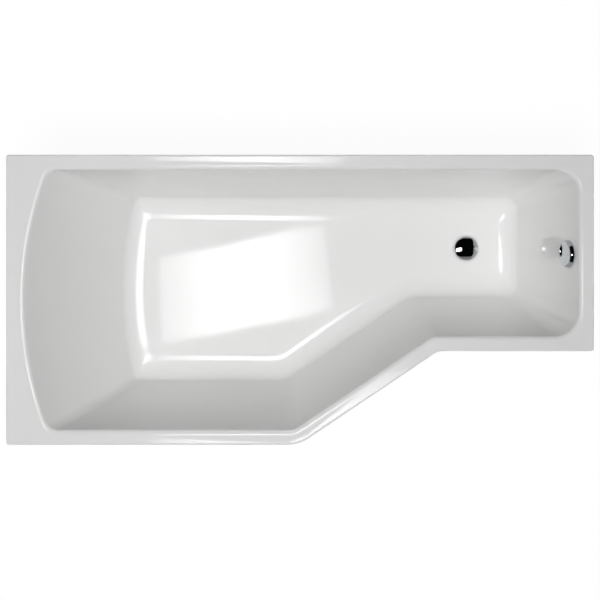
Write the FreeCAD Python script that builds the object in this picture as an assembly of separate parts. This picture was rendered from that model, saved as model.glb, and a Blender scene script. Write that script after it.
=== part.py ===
# Asymmetric acrylic corner bath on an adjustable leg frame, with a pop-up waste and a rotary overflow.
# Millimetres. +Z is up, +X runs from the head end to the foot end, +Y points at the straight back edge.
# The origin is on the floor, below the middle of the rim's outer box.
import FreeCAD
import Part
import math
import os

from FreeCAD import Placement, Rotation, Vector

# Rim outline, seen from above
LENGTH = 1600.0
WIDTH = 790.0
FOOT_WIDTH = 535.0
HEAD_FRONT_LENGTH = 797.0
FOOT_FRONT_LENGTH = 424.0
RIM_CORNER = 8.0
RIM_BEND_OUT = 110.0
RIM_BEND_IN = 50.0

# Rim section
RIM_HEIGHT = 600.0
RIM_WIDTH = 40.0
FOOT_RIM_WIDTH = 37.0
HEAD_RIM_WIDTH = 41.0
RIM_FALL = 2.8
RIM_EDGE = 5.0
INNER_EDGE = 9.0
LIP_HEIGHT = 40.0

# Tub
SHELL = 6.0
DEPTH = 420.0
SIDE_LEAN_TOP = 6.3
SIDE_LEAN_LOW = 15.3
FOOT_LEAN = 12.6
HEAD_LEAN = 29.0
HEAD_BOW_RADIUS = 1000.0
FLOOR_RISE = 40.0
SIDE_FLOOR_REACH = 74.5
FOOT_FLOOR_REACH = 80.5
HEAD_FLOOR_REACH = 66.5
FLOOR_FALL = 0.5
WALL_CURVE_STEPS = 3
FLOOR_CURVE_STEPS = 5
CORNERS_AT_RIM = {"bend_out": 110.0, "bend_in": 90.0, "foot": 68.0, "head": 40.0}
CORNERS_AT_FLOOR = {"bend_out": 90.0, "bend_in": 90.0, "foot": 45.0, "head": 22.0}

# Waste, on the foot end's floor, in line with the overflow
WASTE_FROM_FOOT = 281.0
FITTINGS_OFF_MIDDLE = 5.5
WASTE_HOLE = 52.0
RECESS_RADIUS = 40.0
RECESS_DEPTH = 4.0
FLANGE_RADIUS = 37.0
FLANGE_THICK = 2.5
FLANGE_BEVEL = 1.0
DISH_RADIUS = 31.0
DISH_DEPTH = 1.8
THROAT_RADIUS = 22.5
TAIL_LENGTH = 30.0
SPIDER_HEIGHT = 7.0
SPIDER_ARM = 4.0
UPPER_SEAL = 1.5
LOWER_SEAL = 3.0
CAP_RADIUS = 35.5
CAP_EDGE = 2.0
CAP_DOME = 4.9
CAP_BOSS = 8.0
PLUG_SEAL_RADIUS = 30.0
STEM_RADIUS = 4.0
STEM_LENGTH = 52.0
BODY_FLANGE_RADIUS = 38.0
BODY_FLANGE_THICK = 5.0
BODY_RADIUS = 34.0
BODY_WALL = 3.5
BODY_HEIGHT = 57.0
BODY_OUTLET_RADIUS = 23.9
BODY_OUTLET_LENGTH = 20.0
LEVER_ARM = 20.0
LEVER_SWING = 30.0
LEVER_NOSE = 3.0
LEVER_SHAFT = 3.0
LEVER_WIDTH = 7.0
LEVER_THICK = 3.0

# Trap
PIPE_RADIUS = 20.0
PIPE_WALL = 2.0
TRAP_SEAL = 3.0
TRAP_DROP = 17.0
TRAP_BEND = 30.0
TRAP_RISE = 10.0
TRAP_TAIL = 32.0
OUTLET_LENGTH = 90.0
SPIGOT_RELIEF = 0.3
NUT_HEIGHT = 24.0
NUT_WALL = 4.5
NUT_RIB_COUNT = 16
NUT_RIB_DEPTH = 1.2
NUT_LIP = 3.0
COLLAR = 5.0

# Overflow, in the foot end's wall
OVERFLOW_DEPTH = 70.0
OVERFLOW_HOLE = 54.0
KNOB_RADIUS = 39.0
KNOB_GAP = 3.5
KNOB_DEPTH = 10.5
KNOB_EDGE = 8.0
KNOB_DOME = 1.5
KNOB_WALL = 3.0
KNOB_HUB = 9.0
SPINDLE_RADIUS = 5.0
RING_RADIUS = 33.0
RING_THICK = 3.0
RING_TAIL = 25.5
RING_BORE = 21.5
RING_HUB = 8.5
RING_SPOKE = 5.0
GASKET_THICK = 3.0
GASKET_RADIUS = 37.0
ELBOW_FLANGE_RADIUS = 38.0
ELBOW_FLANGE_THICK = 5.0
ELBOW_RADIUS = 31.0
ELBOW_WALL = 3.0
ELBOW_DEPTH = 33.0
SPIGOT_DROP = 75.0
SPIGOT_WALL = 4.0
WALL_GAP = 1.5
DRUM_RADIUS = 13.0
DRUM_WIDTH = 9.0
DRUM_GROOVE = 3.0

# Overflow hose and control cable
HOSE_RADIUS = 19.0
HOSE_RIB_DEPTH = 2.2
HOSE_BORE = 15.0
HOSE_RIB_PITCH = 8.0
HOSE_CUFF = 26.0
HOSE_BEND = 90.0
BRANCH_LENGTH = 36.0
CABLE_RADIUS = 3.0
CABLE_SIDE = 31.0
CABLE_BOSS = 5.5
CABLE_BOSS_LENGTH = 36.0
CABLE_SEAT = 15.0

# Base board and leg frame
BOARD_THICK = 16.0
BOARD_INSET = 12.0
BOARD_TO_WASTE = 70.0
RAIL_WIDTH = 40.0
RAIL_HEIGHT = 26.0
RAIL_WALL = 2.5
RAIL_END = 22.0
HEAD_RAIL_FROM_HEAD = 470.0
FOOT_RAIL_TO_WASTE = 120.0
FOOT_TRAVEL = 30.0
STUD_TO_WALL = 4.0
STUD_RADIUS = 5.0
STUD_BOTTOM = 6.0
STUD_ABOVE_RAIL = 50.0
STUD_POINT = 1.5
NUT_ACROSS_FLATS = 17.0
STUD_NUT_HEIGHT = 8.0
PAD_RADIUS = 24.0
PAD_EDGE = 5.0
PAD_HUB = 10.0
PAD_HEIGHT = 24.0
SCREW_RADIUS = 2.4
SCREW_LENGTH = 14.0
SCREW_HEAD_RADIUS = 4.5
SCREW_HEAD_HEIGHT = 2.6
SCREW_SPACING = 75.0
HEAD_RAIL_SCREW_COUNT = 4
FOOT_RAIL_SCREW_COUNT = 2

# Clearances
RUNNING = 0.08
THREAD = 0.3
LOOSE = 0.5
SEAT = 0.3

# Derived places
HALF_LENGTH = LENGTH / 2
HALF_WIDTH = WIDTH / 2
FITTINGS_Y = HALF_WIDTH - FOOT_WIDTH / 2 - FITTINGS_OFF_MIDDLE
WASTE_X = HALF_LENGTH - WASTE_FROM_FOOT
FLOOR_Z = RIM_HEIGHT - DEPTH
RECESS_Z = FLOOR_Z - RECESS_DEPTH
UNDERSIDE_Z = RECESS_Z - SHELL
FALL_SLOPE = math.tan(math.radians(FLOOR_FALL))
FLOOR_MIDDLE = DEPTH - FLOOR_RISE

# Heights of the waste, from the tub's floor down to the trap
FLANGE_TOP = RECESS_Z + UPPER_SEAL + FLANGE_THICK
CAP_Z = FLANGE_TOP + SEAT
STEM_BOTTOM = CAP_Z - STEM_LENGTH
BODY_TOP = UNDERSIDE_Z - LOWER_SEAL
BODY_BOTTOM = BODY_TOP - BODY_HEIGHT
OUTLET_BOTTOM = BODY_BOTTOM - BODY_OUTLET_LENGTH
TRAP_TOP = OUTLET_BOTTOM - TRAP_SEAL
TRAP_CENTRE = TRAP_TOP - TRAP_DROP
OUTLET_Z = TRAP_CENTRE + TRAP_RISE + TRAP_BEND
OUTLET_Y = FITTINGS_Y + 3 * TRAP_BEND + TRAP_TAIL
LEVER_X = WASTE_X - LEVER_ARM * math.cos(math.radians(LEVER_SWING / 2))
LEVER_DROP = LEVER_ARM * math.sin(math.radians(LEVER_SWING / 2))
LEVER_Z = STEM_BOTTOM - SEAT - LEVER_NOSE + LEVER_DROP
BODY_BORE = BODY_RADIUS - BODY_WALL
BRANCH_Z = BODY_BOTTOM + BODY_WALL + PIPE_RADIUS

X_AXIS = Vector(1, 0, 0)
Y_AXIS = Vector(0, 1, 0)
Z_AXIS = Vector(0, 0, 1)


# General shapes

def unit(vector):
    """A copy of the vector, one unit long."""
    return Vector(vector).normalize()


def turned(*outline):
    """A solid turned about Z from (radius, height) corners. A third number bulges the side that follows."""
    edges = []
    corners = list(outline) + [outline[0]]
    for here, there in zip(corners, corners[1:]):
        a = Vector(here[0], 0, here[1])
        b = Vector(there[0], 0, there[1])
        if len(here) == 3:
            across = Y_AXIS.cross(unit(b - a)) * here[2]
            edges.append(Part.Arc(a, (a + b) / 2 + across, b).toShape())
        else:
            edges.append(Part.LineSegment(a, b).toShape())
    return Part.Face(Part.Wire(edges)).revolve(Vector(), Z_AXIS, 360)


def dome_bulge(radius, height):
    """How far a dome's side stands out from the straight line between its edge and its top."""
    ball = (radius**2 + height**2) / (2 * height)
    return ball - math.sqrt(ball**2 - (radius**2 + height**2) / 4)


def rod(radius, start, end):
    """A round bar between two points."""
    return Part.makeCylinder(radius, (end - start).Length, start, end - start)


def ring(inside, outside, low, high):
    """A flat ring about Z."""
    return turned((inside, low), (outside, low), (outside, high), (inside, high))


def box(low, high):
    """A block between two corners."""
    size = high - low
    return Part.makeBox(size.x, size.y, size.z, low)


def ribbed_nut(bore, height):
    """A round hand nut about Z with grip grooves all round."""
    outside = bore + NUT_WALL
    nut = ring(bore, outside, 0, height)
    for i in range(NUT_RIB_COUNT):
        angle = 2 * math.pi * i / NUT_RIB_COUNT
        at = Vector(outside * math.cos(angle), outside * math.sin(angle), 0)
        nut = nut.cut(Part.makeCylinder(NUT_RIB_DEPTH, height, at))
    return nut


def moved(shape, placement):
    """A copy of a shape in another frame."""
    copy = shape.copy()
    copy.Placement = placement.multiply(copy.Placement)
    return copy


# Outlines of the rim and the tub

DIAGONAL_START = Vector(HEAD_FRONT_LENGTH - HALF_LENGTH, -HALF_WIDTH, 0)
DIAGONAL_END = Vector(HALF_LENGTH - FOOT_FRONT_LENGTH, HALF_WIDTH - FOOT_WIDTH, 0)
DIAGONAL = unit(DIAGONAL_END - DIAGONAL_START)
DIAGONAL_IN = Z_AXIS.cross(DIAGONAL)


def on_diagonal(inset, y):
    """The point of the slanting front edge, moved in by the inset, at a given Y."""
    start = DIAGONAL_START + DIAGONAL_IN * inset
    return start + DIAGONAL * ((y - start.y) / DIAGONAL.y)


def line_corner(corner, before, after, radius):
    """Start, middle and end of the arc that rounds the corner between two straight sides."""
    half = before.getAngle(after) / 2
    reach = radius * math.tan(half)
    middle = corner + unit(after - before) * (radius / math.cos(half) - radius)
    return corner - before * reach, middle, corner + after * reach


def bow_corner(centre, bow, line_y, radius):
    """Start, middle and end of the arc between a side along X and the bowed head edge, line end first."""
    inward = math.copysign(1.0, centre.y - line_y)
    y = line_y + inward * radius
    x = centre.x - math.sqrt((bow - radius) ** 2 - (y - centre.y) ** 2)
    hub = Vector(x, y, 0)
    on_line = Vector(x, line_y, 0)
    on_bow = centre + unit(hub - centre) * bow
    middle = hub + unit(on_line - hub + on_bow - hub) * radius
    return on_line, middle, on_bow


def outline(back, foot, front, head, bow, corners):
    """A closed wire at z = 0: the rim's outer line with each side moved in by its own inset."""
    y_back = HALF_WIDTH - back
    y_foot = HALF_WIDTH - FOOT_WIDTH + front
    y_front = front - HALF_WIDTH
    x_foot = HALF_LENGTH - foot
    x_head = head - HALF_LENGTH
    arcs = [
        line_corner(on_diagonal(front, y_front), X_AXIS, DIAGONAL, corners["bend_out"]),
        line_corner(on_diagonal(front, y_foot), DIAGONAL, X_AXIS, corners["bend_in"]),
        line_corner(Vector(x_foot, y_foot, 0), X_AXIS, Y_AXIS, corners["foot"]),
        line_corner(Vector(x_foot, y_back, 0), Y_AXIS, -X_AXIS, corners["foot"]),
    ]
    if bow:
        centre = Vector(x_head + bow, (y_back + y_front) / 2, 0)
        arcs.append(bow_corner(centre, bow, y_back, corners["head"]))
        arcs.append(bow_corner(centre, bow, y_front, corners["head"])[::-1])
    else:
        arcs.append(line_corner(Vector(x_head, y_back, 0), -X_AXIS, -Y_AXIS, corners["head"]))
        arcs.append(line_corner(Vector(x_head, y_front, 0), -Y_AXIS, X_AXIS, corners["head"]))
    edges = []
    for i, (start, middle, end) in enumerate(arcs):
        following = arcs[(i + 1) % len(arcs)][0]
        edges.append(Part.Arc(start, middle, end).toShape())
        if bow and i == 4:
            edges.append(Part.Arc(end, Vector(x_head, centre.y, 0), following).toShape())
        else:
            edges.append(Part.LineSegment(end, following).toShape())
    return Part.Wire(edges)


def rim_outline(inset):
    """The rim's outer line, moved in all round."""
    corners = {
        "bend_out": RIM_BEND_OUT - inset,
        "bend_in": RIM_BEND_IN + inset,
        "foot": max(RIM_CORNER - inset, RIM_CORNER / 4),
        "head": max(RIM_CORNER - inset, RIM_CORNER / 4),
    }
    return outline(inset, inset, inset, inset, None, corners)


class Wall:
    """The section of one side of the tub: a lean that may grow with depth, then a round run into the floor.

    The run is a quarter of an ellipse, wider than it is high. A skin above zero gives the side's back face.
    """

    def __init__(self, top_lean, low_lean, reach):
        self.top = math.tan(math.radians(top_lean))
        self.low = math.tan(math.radians(low_lean))
        self.reach = reach
        start = self.run_start(0.0)
        self.bend = (self.low - self.top) / (2 * start)
        self.floor_edge = self.face(start) + reach * math.cos(self.run_angle(0.0))

    def run_angle(self, skin):
        """Where on its ellipse the run into the floor starts."""
        return math.atan(self.low * (FLOOR_RISE + skin) / (self.reach + skin))

    def run_start(self, skin):
        """The depth where the run into the floor starts."""
        return FLOOR_MIDDLE + (FLOOR_RISE + skin) * math.sin(self.run_angle(skin))

    def face(self, depth):
        """How far the wall's inner face has come in from the rim at a depth above the run."""
        return self.top * depth + self.bend * depth**2

    def inset(self, depth, skin):
        """How far the side has come in from the rim at any depth."""
        if depth <= self.run_start(skin):
            return self.face(depth) - skin * math.hypot(1.0, self.top + 2 * self.bend * depth)
        down = (depth - FLOOR_MIDDLE) / (FLOOR_RISE + skin)
        return self.floor_edge - (self.reach + skin) * math.sqrt(max(1 - down**2, 0.0))


SIDE_WALL = Wall(SIDE_LEAN_TOP, SIDE_LEAN_LOW, SIDE_FLOOR_REACH)
FOOT_WALL = Wall(FOOT_LEAN, FOOT_LEAN, FOOT_FLOOR_REACH)
HEAD_WALL = Wall(HEAD_LEAN, HEAD_LEAN, HEAD_FLOOR_REACH)


def fallen(depth, share):
    """The frame of a tub section: its depth below the rim, and its share of the floor's fall to the waste."""
    turn = Rotation(Y_AXIS, FLOOR_FALL * share)
    return Placement(Vector(0, 0, RIM_HEIGHT - depth), turn, Vector(WASTE_X, 0, 0))


def tub_section(depth, skin, share=0.0, inset=0.0):
    """The tub's outline at a depth below the rim, as a wire in place."""
    side = RIM_WIDTH + SIDE_WALL.inset(depth, skin) + inset
    foot = FOOT_RIM_WIDTH + FOOT_WALL.inset(depth, skin) + inset
    head = HEAD_RIM_WIDTH + HEAD_WALL.inset(depth, skin) + inset
    down = min(depth / DEPTH, 1.0)
    corners = {}
    for name, at_rim in CORNERS_AT_RIM.items():
        grow = -skin if name == "bend_in" else skin
        corners[name] = at_rim + (CORNERS_AT_FLOOR[name] - at_rim) * down + grow
    wire = outline(side, foot, side, head, HEAD_BOW_RADIUS, corners)
    wire.Placement = fallen(depth, share)
    return wire


def bowl(skin):
    """The tub's hollow as a solid: walls leaning in with the depth and a round run into the sloping floor."""
    start = min(wall.run_start(skin) for wall in (SIDE_WALL, FOOT_WALL, HEAD_WALL))
    walls = [tub_section(start * i / WALL_CURVE_STEPS, skin) for i in range(WALL_CURVE_STEPS + 1)]
    first = math.asin((start - FLOOR_MIDDLE) / (FLOOR_RISE + skin))
    run = []
    for i in range(FLOOR_CURVE_STEPS + 1):
        angle = first + (math.pi / 2 - first) * i / FLOOR_CURVE_STEPS
        share = (math.sin(angle) - math.sin(first)) / (1 - math.sin(first))
        run.append(tub_section(FLOOR_MIDDLE + (FLOOR_RISE + skin) * math.sin(angle), skin, share))
    return Part.makeLoft(walls, True, False).fuse(Part.makeLoft(run, True, False))


# Frames that several pieces share

def overflow_frame():
    """Origin on the foot wall's inner face at the overflow: Z into the tub, X up the wall, Y across."""
    x = HALF_LENGTH - FOOT_RIM_WIDTH - FOOT_WALL.inset(OVERFLOW_DEPTH, 0.0)
    origin = Vector(x, FITTINGS_Y, RIM_HEIGHT - OVERFLOW_DEPTH)
    return Placement(origin, Rotation(Y_AXIS, FOOT_LEAN - 90.0))


OVERFLOW = overflow_frame()
WASTE = Placement(Vector(WASTE_X, FITTINGS_Y, 0), Rotation())
GASKET_BACK = -SHELL - GASKET_THICK
ELBOW_BACK = GASKET_BACK - ELBOW_DEPTH
SPIGOT_Z = -SHELL - WALL_GAP - PIPE_RADIUS - THREAD - NUT_WALL


# The tub

def acrylic_shell():
    """The moulded tub: crowned rim with a turned-down lip, leaning walls, floor and waste recess."""
    lip = Part.Face(rim_outline(0.0)).extrude(Z_AXIS * LIP_HEIGHT)
    lip.translate(Z_AXIS * (RIM_HEIGHT - LIP_HEIGHT))
    top_edges = [e for e in lip.Edges if e.BoundBox.ZMin > RIM_HEIGHT - RIM_EDGE / 2]
    lip = lip.makeFillet(RIM_EDGE, top_edges)
    outer = rim_outline(RIM_EDGE)
    outer.translate(Z_AXIS * RIM_HEIGHT)
    above_rim = Part.makeLoft([outer, mouth_below()], True, True)
    under_rim = Part.Face(rim_outline(SHELL)).extrude(Z_AXIS * (LIP_HEIGHT - SHELL))
    under_rim.translate(Z_AXIS * (RIM_HEIGHT - LIP_HEIGHT))
    lowered = above_rim.copy()
    lowered.translate(-Z_AXIS * SHELL)
    rim = lip.cut(under_rim.cut(lowered))
    boss = Part.makeCylinder(RECESS_RADIUS + SHELL, RECESS_DEPTH + SHELL / 2, Vector(0, 0, UNDERSIDE_Z))
    shell = rim.fuse([bowl(SHELL), moved(boss, WASTE)]).cut([above_rim, bowl(0.0)])
    shell = shell.makeFillet(INNER_EDGE, mouth_edges(shell))
    recess = Part.makeCylinder(RECESS_RADIUS, 2 * RECESS_DEPTH, Vector(0, 0, RECESS_Z))
    waste_hole = Part.makeCylinder(WASTE_HOLE / 2, 4 * SHELL, Vector(0, 0, UNDERSIDE_Z - SHELL))
    overflow_hole = Part.makeCylinder(OVERFLOW_HOLE / 2, 4 * SHELL, Vector(0, 0, -3 * SHELL))
    return shell.cut([moved(recess, WASTE), moved(waste_hole, WASTE), moved(overflow_hole, OVERFLOW)])


def mouth_below():
    """The lower end of the rim's slope, carried on past the mouth so that it crosses the tub's walls."""
    past = RIM_WIDTH / 2
    wire = outline(RIM_WIDTH + past, FOOT_RIM_WIDTH + past, RIM_WIDTH + past, HEAD_RIM_WIDTH + past,
                   HEAD_BOW_RADIUS, CORNERS_AT_RIM)
    wire.translate(Z_AXIS * (RIM_HEIGHT - RIM_FALL * (1 + past / (RIM_WIDTH - RIM_EDGE))))
    return wire


def mouth_edges(shell):
    """The edges where the rim's slope turns down into the tub."""
    inside = Part.Face(rim_outline(RIM_WIDTH / 2))
    found = []
    for edge in shell.Edges:
        middle = edge.valueAt((edge.FirstParameter + edge.LastParameter) / 2)
        level = abs(middle.z - RIM_HEIGHT + RIM_FALL) < RIM_FALL / 3 and edge.BoundBox.ZLength < RIM_FALL / 2
        if level and inside.isInside(Vector(middle.x, middle.y, 0), 0.01, True):
            found.append(edge)
    return found


# Board and leg frame

def board_bottom(x):
    """Height of the base board's underside at an X."""
    down = SHELL + BOARD_THICK / math.cos(math.radians(FLOOR_FALL))
    return FLOOR_Z - down + (WASTE_X - x) * FALL_SLOPE


def rail_top(x):
    """Height of a rail's top face: it bears on the lowest line of the board above it."""
    return board_bottom(x + RAIL_WIDTH / 2)


HEAD_RAIL_X = HEAD_RAIL_FROM_HEAD - HALF_LENGTH
FOOT_RAIL_X = WASTE_X - FOOT_RAIL_TO_WASTE


def stud_inset():
    """How far inside the rim's edge the studs stand, so that a foot screwed right up clears the wall."""
    highest = rail_top(HEAD_RAIL_X) + STUD_ABOVE_RAIL + FOOT_TRAVEL
    return RIM_WIDTH + SIDE_WALL.inset(RIM_HEIGHT - highest, SHELL) - STUD_TO_WALL - STUD_RADIUS


FEET_BACK_Y = HALF_WIDTH - stud_inset()
FEET_FRONT_Y = stud_inset() - HALF_WIDTH
FEET_NARROW_Y = HALF_WIDTH - FOOT_WIDTH + stud_inset()

# Place along X, Y of the front foot, Y of the back foot and number of screws
RAILS = {
    "head": (HEAD_RAIL_X, FEET_FRONT_Y, FEET_BACK_Y, HEAD_RAIL_SCREW_COUNT),
    "foot": (FOOT_RAIL_X, FEET_NARROW_Y, FEET_BACK_Y, FOOT_RAIL_SCREW_COUNT),
}


def feet():
    """Places of the four feet on the floor, front and back of each rail."""
    return [Vector(x, y, 0) for x, front, back, count in RAILS.values() for y in (front, back)]


def screw_places():
    """Places of the rail screws, at the height of the rail's top face."""
    places = []
    for x, front, back, count in RAILS.values():
        for i in range(count):
            y = (front + back) / 2 + SCREW_SPACING * (i - (count - 1) / 2)
            places.append(Vector(x, y, rail_top(x)))
    return places


def base_board():
    """The board bonded under the floor: the floor's outline drawn in, cut off short of the waste."""
    face = Part.Face(tub_section(DEPTH + SHELL, SHELL, 1.0, BOARD_INSET))
    board = face.extrude(fallen(0.0, 1.0).Rotation.multVec(-Z_AXIS) * BOARD_THICK)
    end = box(Vector(WASTE_X - BOARD_TO_WASTE, -WIDTH, 0), Vector(LENGTH, WIDTH, RIM_HEIGHT))
    holes = [Part.makeCylinder(SCREW_RADIUS + RUNNING, SCREW_LENGTH + SEAT, at) for at in screw_places()]
    return board.cut([end] + holes)


def cradle_rail(name):
    """A galvanised channel across the board, open below, with holes for its two studs and its screws."""
    x, front, back, count = RAILS[name]
    top = rail_top(x)
    low = Vector(x - RAIL_WIDTH / 2, front - RAIL_END, top - RAIL_HEIGHT)
    high = Vector(x + RAIL_WIDTH / 2, back + RAIL_END, top)
    channel = Vector(RAIL_WALL, 0, 0)
    rail = box(low, high).cut(box(low + channel, high - channel - Z_AXIS * RAIL_WALL))
    holes = []
    for y in (front, back):
        holes.append(Part.makeCylinder(STUD_RADIUS + LOOSE, RAIL_HEIGHT, Vector(x, y, top - RAIL_HEIGHT)))
    for at in screw_places():
        holes.append(Part.makeCylinder(SCREW_RADIUS + SEAT, RAIL_HEIGHT, at - Z_AXIS * RAIL_HEIGHT))
    return rail.cut(holes)


def rail_screws():
    """The pan-head screws that hold the rails up to the board."""
    low = -RAIL_WALL - SCREW_HEAD_HEIGHT
    screw = turned((0, low), (SCREW_HEAD_RADIUS, low + SCREW_HEAD_HEIGHT / 2),
                   (SCREW_HEAD_RADIUS, -RAIL_WALL), (SCREW_RADIUS, -RAIL_WALL),
                   (SCREW_RADIUS, SCREW_LENGTH - 2 * SCREW_RADIUS), (0, SCREW_LENGTH))
    return Part.makeCompound([moved(screw, Placement(at, Rotation())) for at in screw_places()])


def foot_stud(at):
    """A threaded stud, chamfered at its top."""
    top = rail_top(at.x) + STUD_ABOVE_RAIL
    stud = turned((0, STUD_BOTTOM), (STUD_RADIUS, STUD_BOTTOM), (STUD_RADIUS, top - STUD_POINT),
                  (STUD_RADIUS - STUD_POINT, top), (0, top))
    return moved(stud, Placement(at, Rotation()))


def foot_pad(at):
    """A moulded foot with a socket for its stud."""
    bore = STUD_RADIUS + RUNNING
    pad = turned((0, 0), (PAD_RADIUS, 0), (PAD_RADIUS, PAD_EDGE), (PAD_HUB, PAD_HEIGHT - PAD_EDGE),
                 (PAD_HUB, PAD_HEIGHT), (bore, PAD_HEIGHT), (bore, STUD_BOTTOM), (0, STUD_BOTTOM))
    return moved(pad, Placement(at, Rotation()))


def stud_nuts():
    """Hexagon nuts above and below the rail on every stud."""
    across = NUT_ACROSS_FLATS / math.sqrt(3)
    corners = []
    for i in range(7):
        corners.append(Vector(across * math.cos(math.pi * i / 3), across * math.sin(math.pi * i / 3), 0))
    nut = Part.Face(Part.makePolygon(corners)).extrude(Z_AXIS * STUD_NUT_HEIGHT)
    nut = nut.cut(Part.makeCylinder(STUD_RADIUS + RUNNING, STUD_NUT_HEIGHT))
    nuts = []
    for at in feet():
        top = rail_top(at.x)
        for z in (top, top - RAIL_WALL - STUD_NUT_HEIGHT):
            nuts.append(moved(nut, Placement(at + Z_AXIS * z, Rotation())))
    return Part.makeCompound(nuts)


# Waste

FLANGE_LOW = RECESS_Z + UPPER_SEAL
TAIL_RADIUS = WASTE_HOLE / 2 - LOOSE
TAIL_BOTTOM = FLANGE_LOW - TAIL_LENGTH
DISH_SLOPE = DISH_DEPTH / (DISH_RADIUS - THROAT_RADIUS)


def spider(hub, bore, reach, arm, low, high):
    """A hub held by three arms, about Z."""
    arms = [box(Vector(0, -arm / 2, low), Vector(reach, arm / 2, high)) for i in range(3)]
    for i, one in enumerate(arms):
        one.rotate(Vector(), Z_AXIS, 120 * i + 60)
    whole = Part.makeCylinder(hub, high - low, Vector(0, 0, low)).fuse(arms)
    return whole.cut(Part.makeCylinder(bore, high - low, Vector(0, 0, low)))


def waste_flange():
    """The chromed flange in the recess: dished seat, threaded tail, and a spider to guide the plug's stem."""
    seat_low = FLANGE_TOP - DISH_DEPTH
    flange = turned((THROAT_RADIUS, TAIL_BOTTOM), (TAIL_RADIUS, TAIL_BOTTOM), (TAIL_RADIUS, FLANGE_LOW),
                    (FLANGE_RADIUS, FLANGE_LOW), (FLANGE_RADIUS, FLANGE_TOP - FLANGE_BEVEL),
                    (FLANGE_RADIUS - FLANGE_BEVEL, FLANGE_TOP), (DISH_RADIUS, FLANGE_TOP),
                    (THROAT_RADIUS, seat_low))
    reach = (THROAT_RADIUS + TAIL_RADIUS) / 2
    guide = spider(STEM_RADIUS + SPIDER_ARM, STEM_RADIUS + RUNNING, reach, SPIDER_ARM, TAIL_BOTTOM,
                   TAIL_BOTTOM + SPIDER_HEIGHT)
    return moved(flange.fuse(guide), WASTE)


def plug_cap():
    """The chromed plug: a shallow dome with a boss below for the stem."""
    bore = STEM_RADIUS + RUNNING
    top = CAP_Z + CAP_EDGE
    cap = turned((0, CAP_Z), (bore, CAP_Z), (bore, CAP_Z - CAP_BOSS), (CAP_BOSS, CAP_Z - CAP_BOSS),
                 (CAP_BOSS, CAP_Z), (CAP_RADIUS, CAP_Z),
                 (CAP_RADIUS, top, dome_bulge(CAP_RADIUS, CAP_DOME)), (0, top + CAP_DOME))
    return moved(cap, WASTE)


def plug_seal():
    """The plug's rubber ring, shaped to the dished seat below it."""
    inner_low = FLANGE_TOP - DISH_DEPTH + SEAT
    outer_low = FLANGE_TOP - (DISH_RADIUS - PLUG_SEAL_RADIUS) * DISH_SLOPE + SEAT
    seal = turned((THROAT_RADIUS, inner_low), (PLUG_SEAL_RADIUS, outer_low), (PLUG_SEAL_RADIUS, CAP_Z),
                  (THROAT_RADIUS, CAP_Z))
    return moved(seal, WASTE)


def plug_stem():
    """The rod below the plug that the lever pushes up."""
    return moved(Part.makeCylinder(STEM_RADIUS, STEM_LENGTH, Vector(0, 0, STEM_BOTTOM)), WASTE)


def lever_half():
    """Half of the lever shaft's length: it ends inside the waste body's wall."""
    x = LEVER_X - WASTE_X
    return math.sqrt(BODY_RADIUS**2 - x**2) - BODY_WALL / 3


def lift_lever():
    """The lever under the stem: a cross shaft, an arm and a round nose, drawn with the plug closed."""
    half = lever_half()
    shaft = rod(LEVER_SHAFT, Vector(0, -half, 0), Vector(0, half, 0))
    low = Vector(0, -LEVER_WIDTH / 2, -LEVER_THICK / 2)
    arm = box(low, Vector(LEVER_ARM, LEVER_WIDTH / 2, LEVER_THICK / 2))
    nose = rod(LEVER_NOSE, Vector(LEVER_ARM, -LEVER_WIDTH / 2, 0), Vector(LEVER_ARM, LEVER_WIDTH / 2, 0))
    lever = shaft.fuse([arm, nose])
    return moved(lever, Placement(Vector(LEVER_X, FITTINGS_Y, LEVER_Z), Rotation(Y_AXIS, LEVER_SWING / 2)))


def waste_body():
    """The cup under the tub: flange, threaded neck, overflow branch, cable boss and outlet thread."""
    neck = TAIL_RADIUS + THREAD
    neck_low = TAIL_BOTTOM + SPIDER_HEIGHT / 2
    outlet = BODY_OUTLET_RADIUS - BODY_WALL
    flange_low = BODY_TOP - BODY_FLANGE_THICK
    floor = BODY_BOTTOM + BODY_WALL
    outside = turned((0, OUTLET_BOTTOM), (BODY_OUTLET_RADIUS, OUTLET_BOTTOM),
                     (BODY_OUTLET_RADIUS, BODY_BOTTOM), (BODY_RADIUS, BODY_BOTTOM), (BODY_RADIUS, flange_low),
                     (BODY_FLANGE_RADIUS, flange_low), (BODY_FLANGE_RADIUS, BODY_TOP), (0, BODY_TOP))
    inside = turned((0, OUTLET_BOTTOM), (outlet, OUTLET_BOTTOM), (outlet, floor), (BODY_BORE, floor),
                    (BODY_BORE, neck_low), (neck, neck_low + BODY_BORE - neck), (neck, BODY_TOP),
                    (0, BODY_TOP))
    end = Vector(BODY_RADIUS + BRANCH_LENGTH, 0, BRANCH_Z)
    axis = Vector(0, 0, BRANCH_Z)
    boss_end = Vector(BODY_RADIUS / 4 + CABLE_BOSS_LENGTH, CABLE_SIDE, BRANCH_Z)
    boss = rod(CABLE_BOSS, Vector(BODY_RADIUS / 4, CABLE_SIDE, BRANCH_Z), boss_end)
    socket = rod(CABLE_RADIUS + SEAT, boss_end - X_AXIS * CABLE_SEAT, boss_end)
    pivot = Vector(LEVER_X - WASTE_X, 0, LEVER_Z)
    across = Y_AXIS * (lever_half() + SEAT)
    bearing = rod(LEVER_SHAFT + RUNNING, pivot - across, pivot + across)
    body = outside.fuse([rod(PIPE_RADIUS, axis, end), boss])
    return moved(body.cut([inside, rod(PIPE_RADIUS - SPIGOT_WALL, axis, end), socket, bearing]), WASTE)


# Trap

def swept(radius, path):
    """A round bar along a wire."""
    edge = path.Edges[0]
    start = edge.valueAt(edge.FirstParameter)
    circle = Part.Wire(Part.makeCircle(radius, start, edge.tangentAt(edge.FirstParameter)))
    return path.makePipeShell([circle], True, True)


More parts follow.
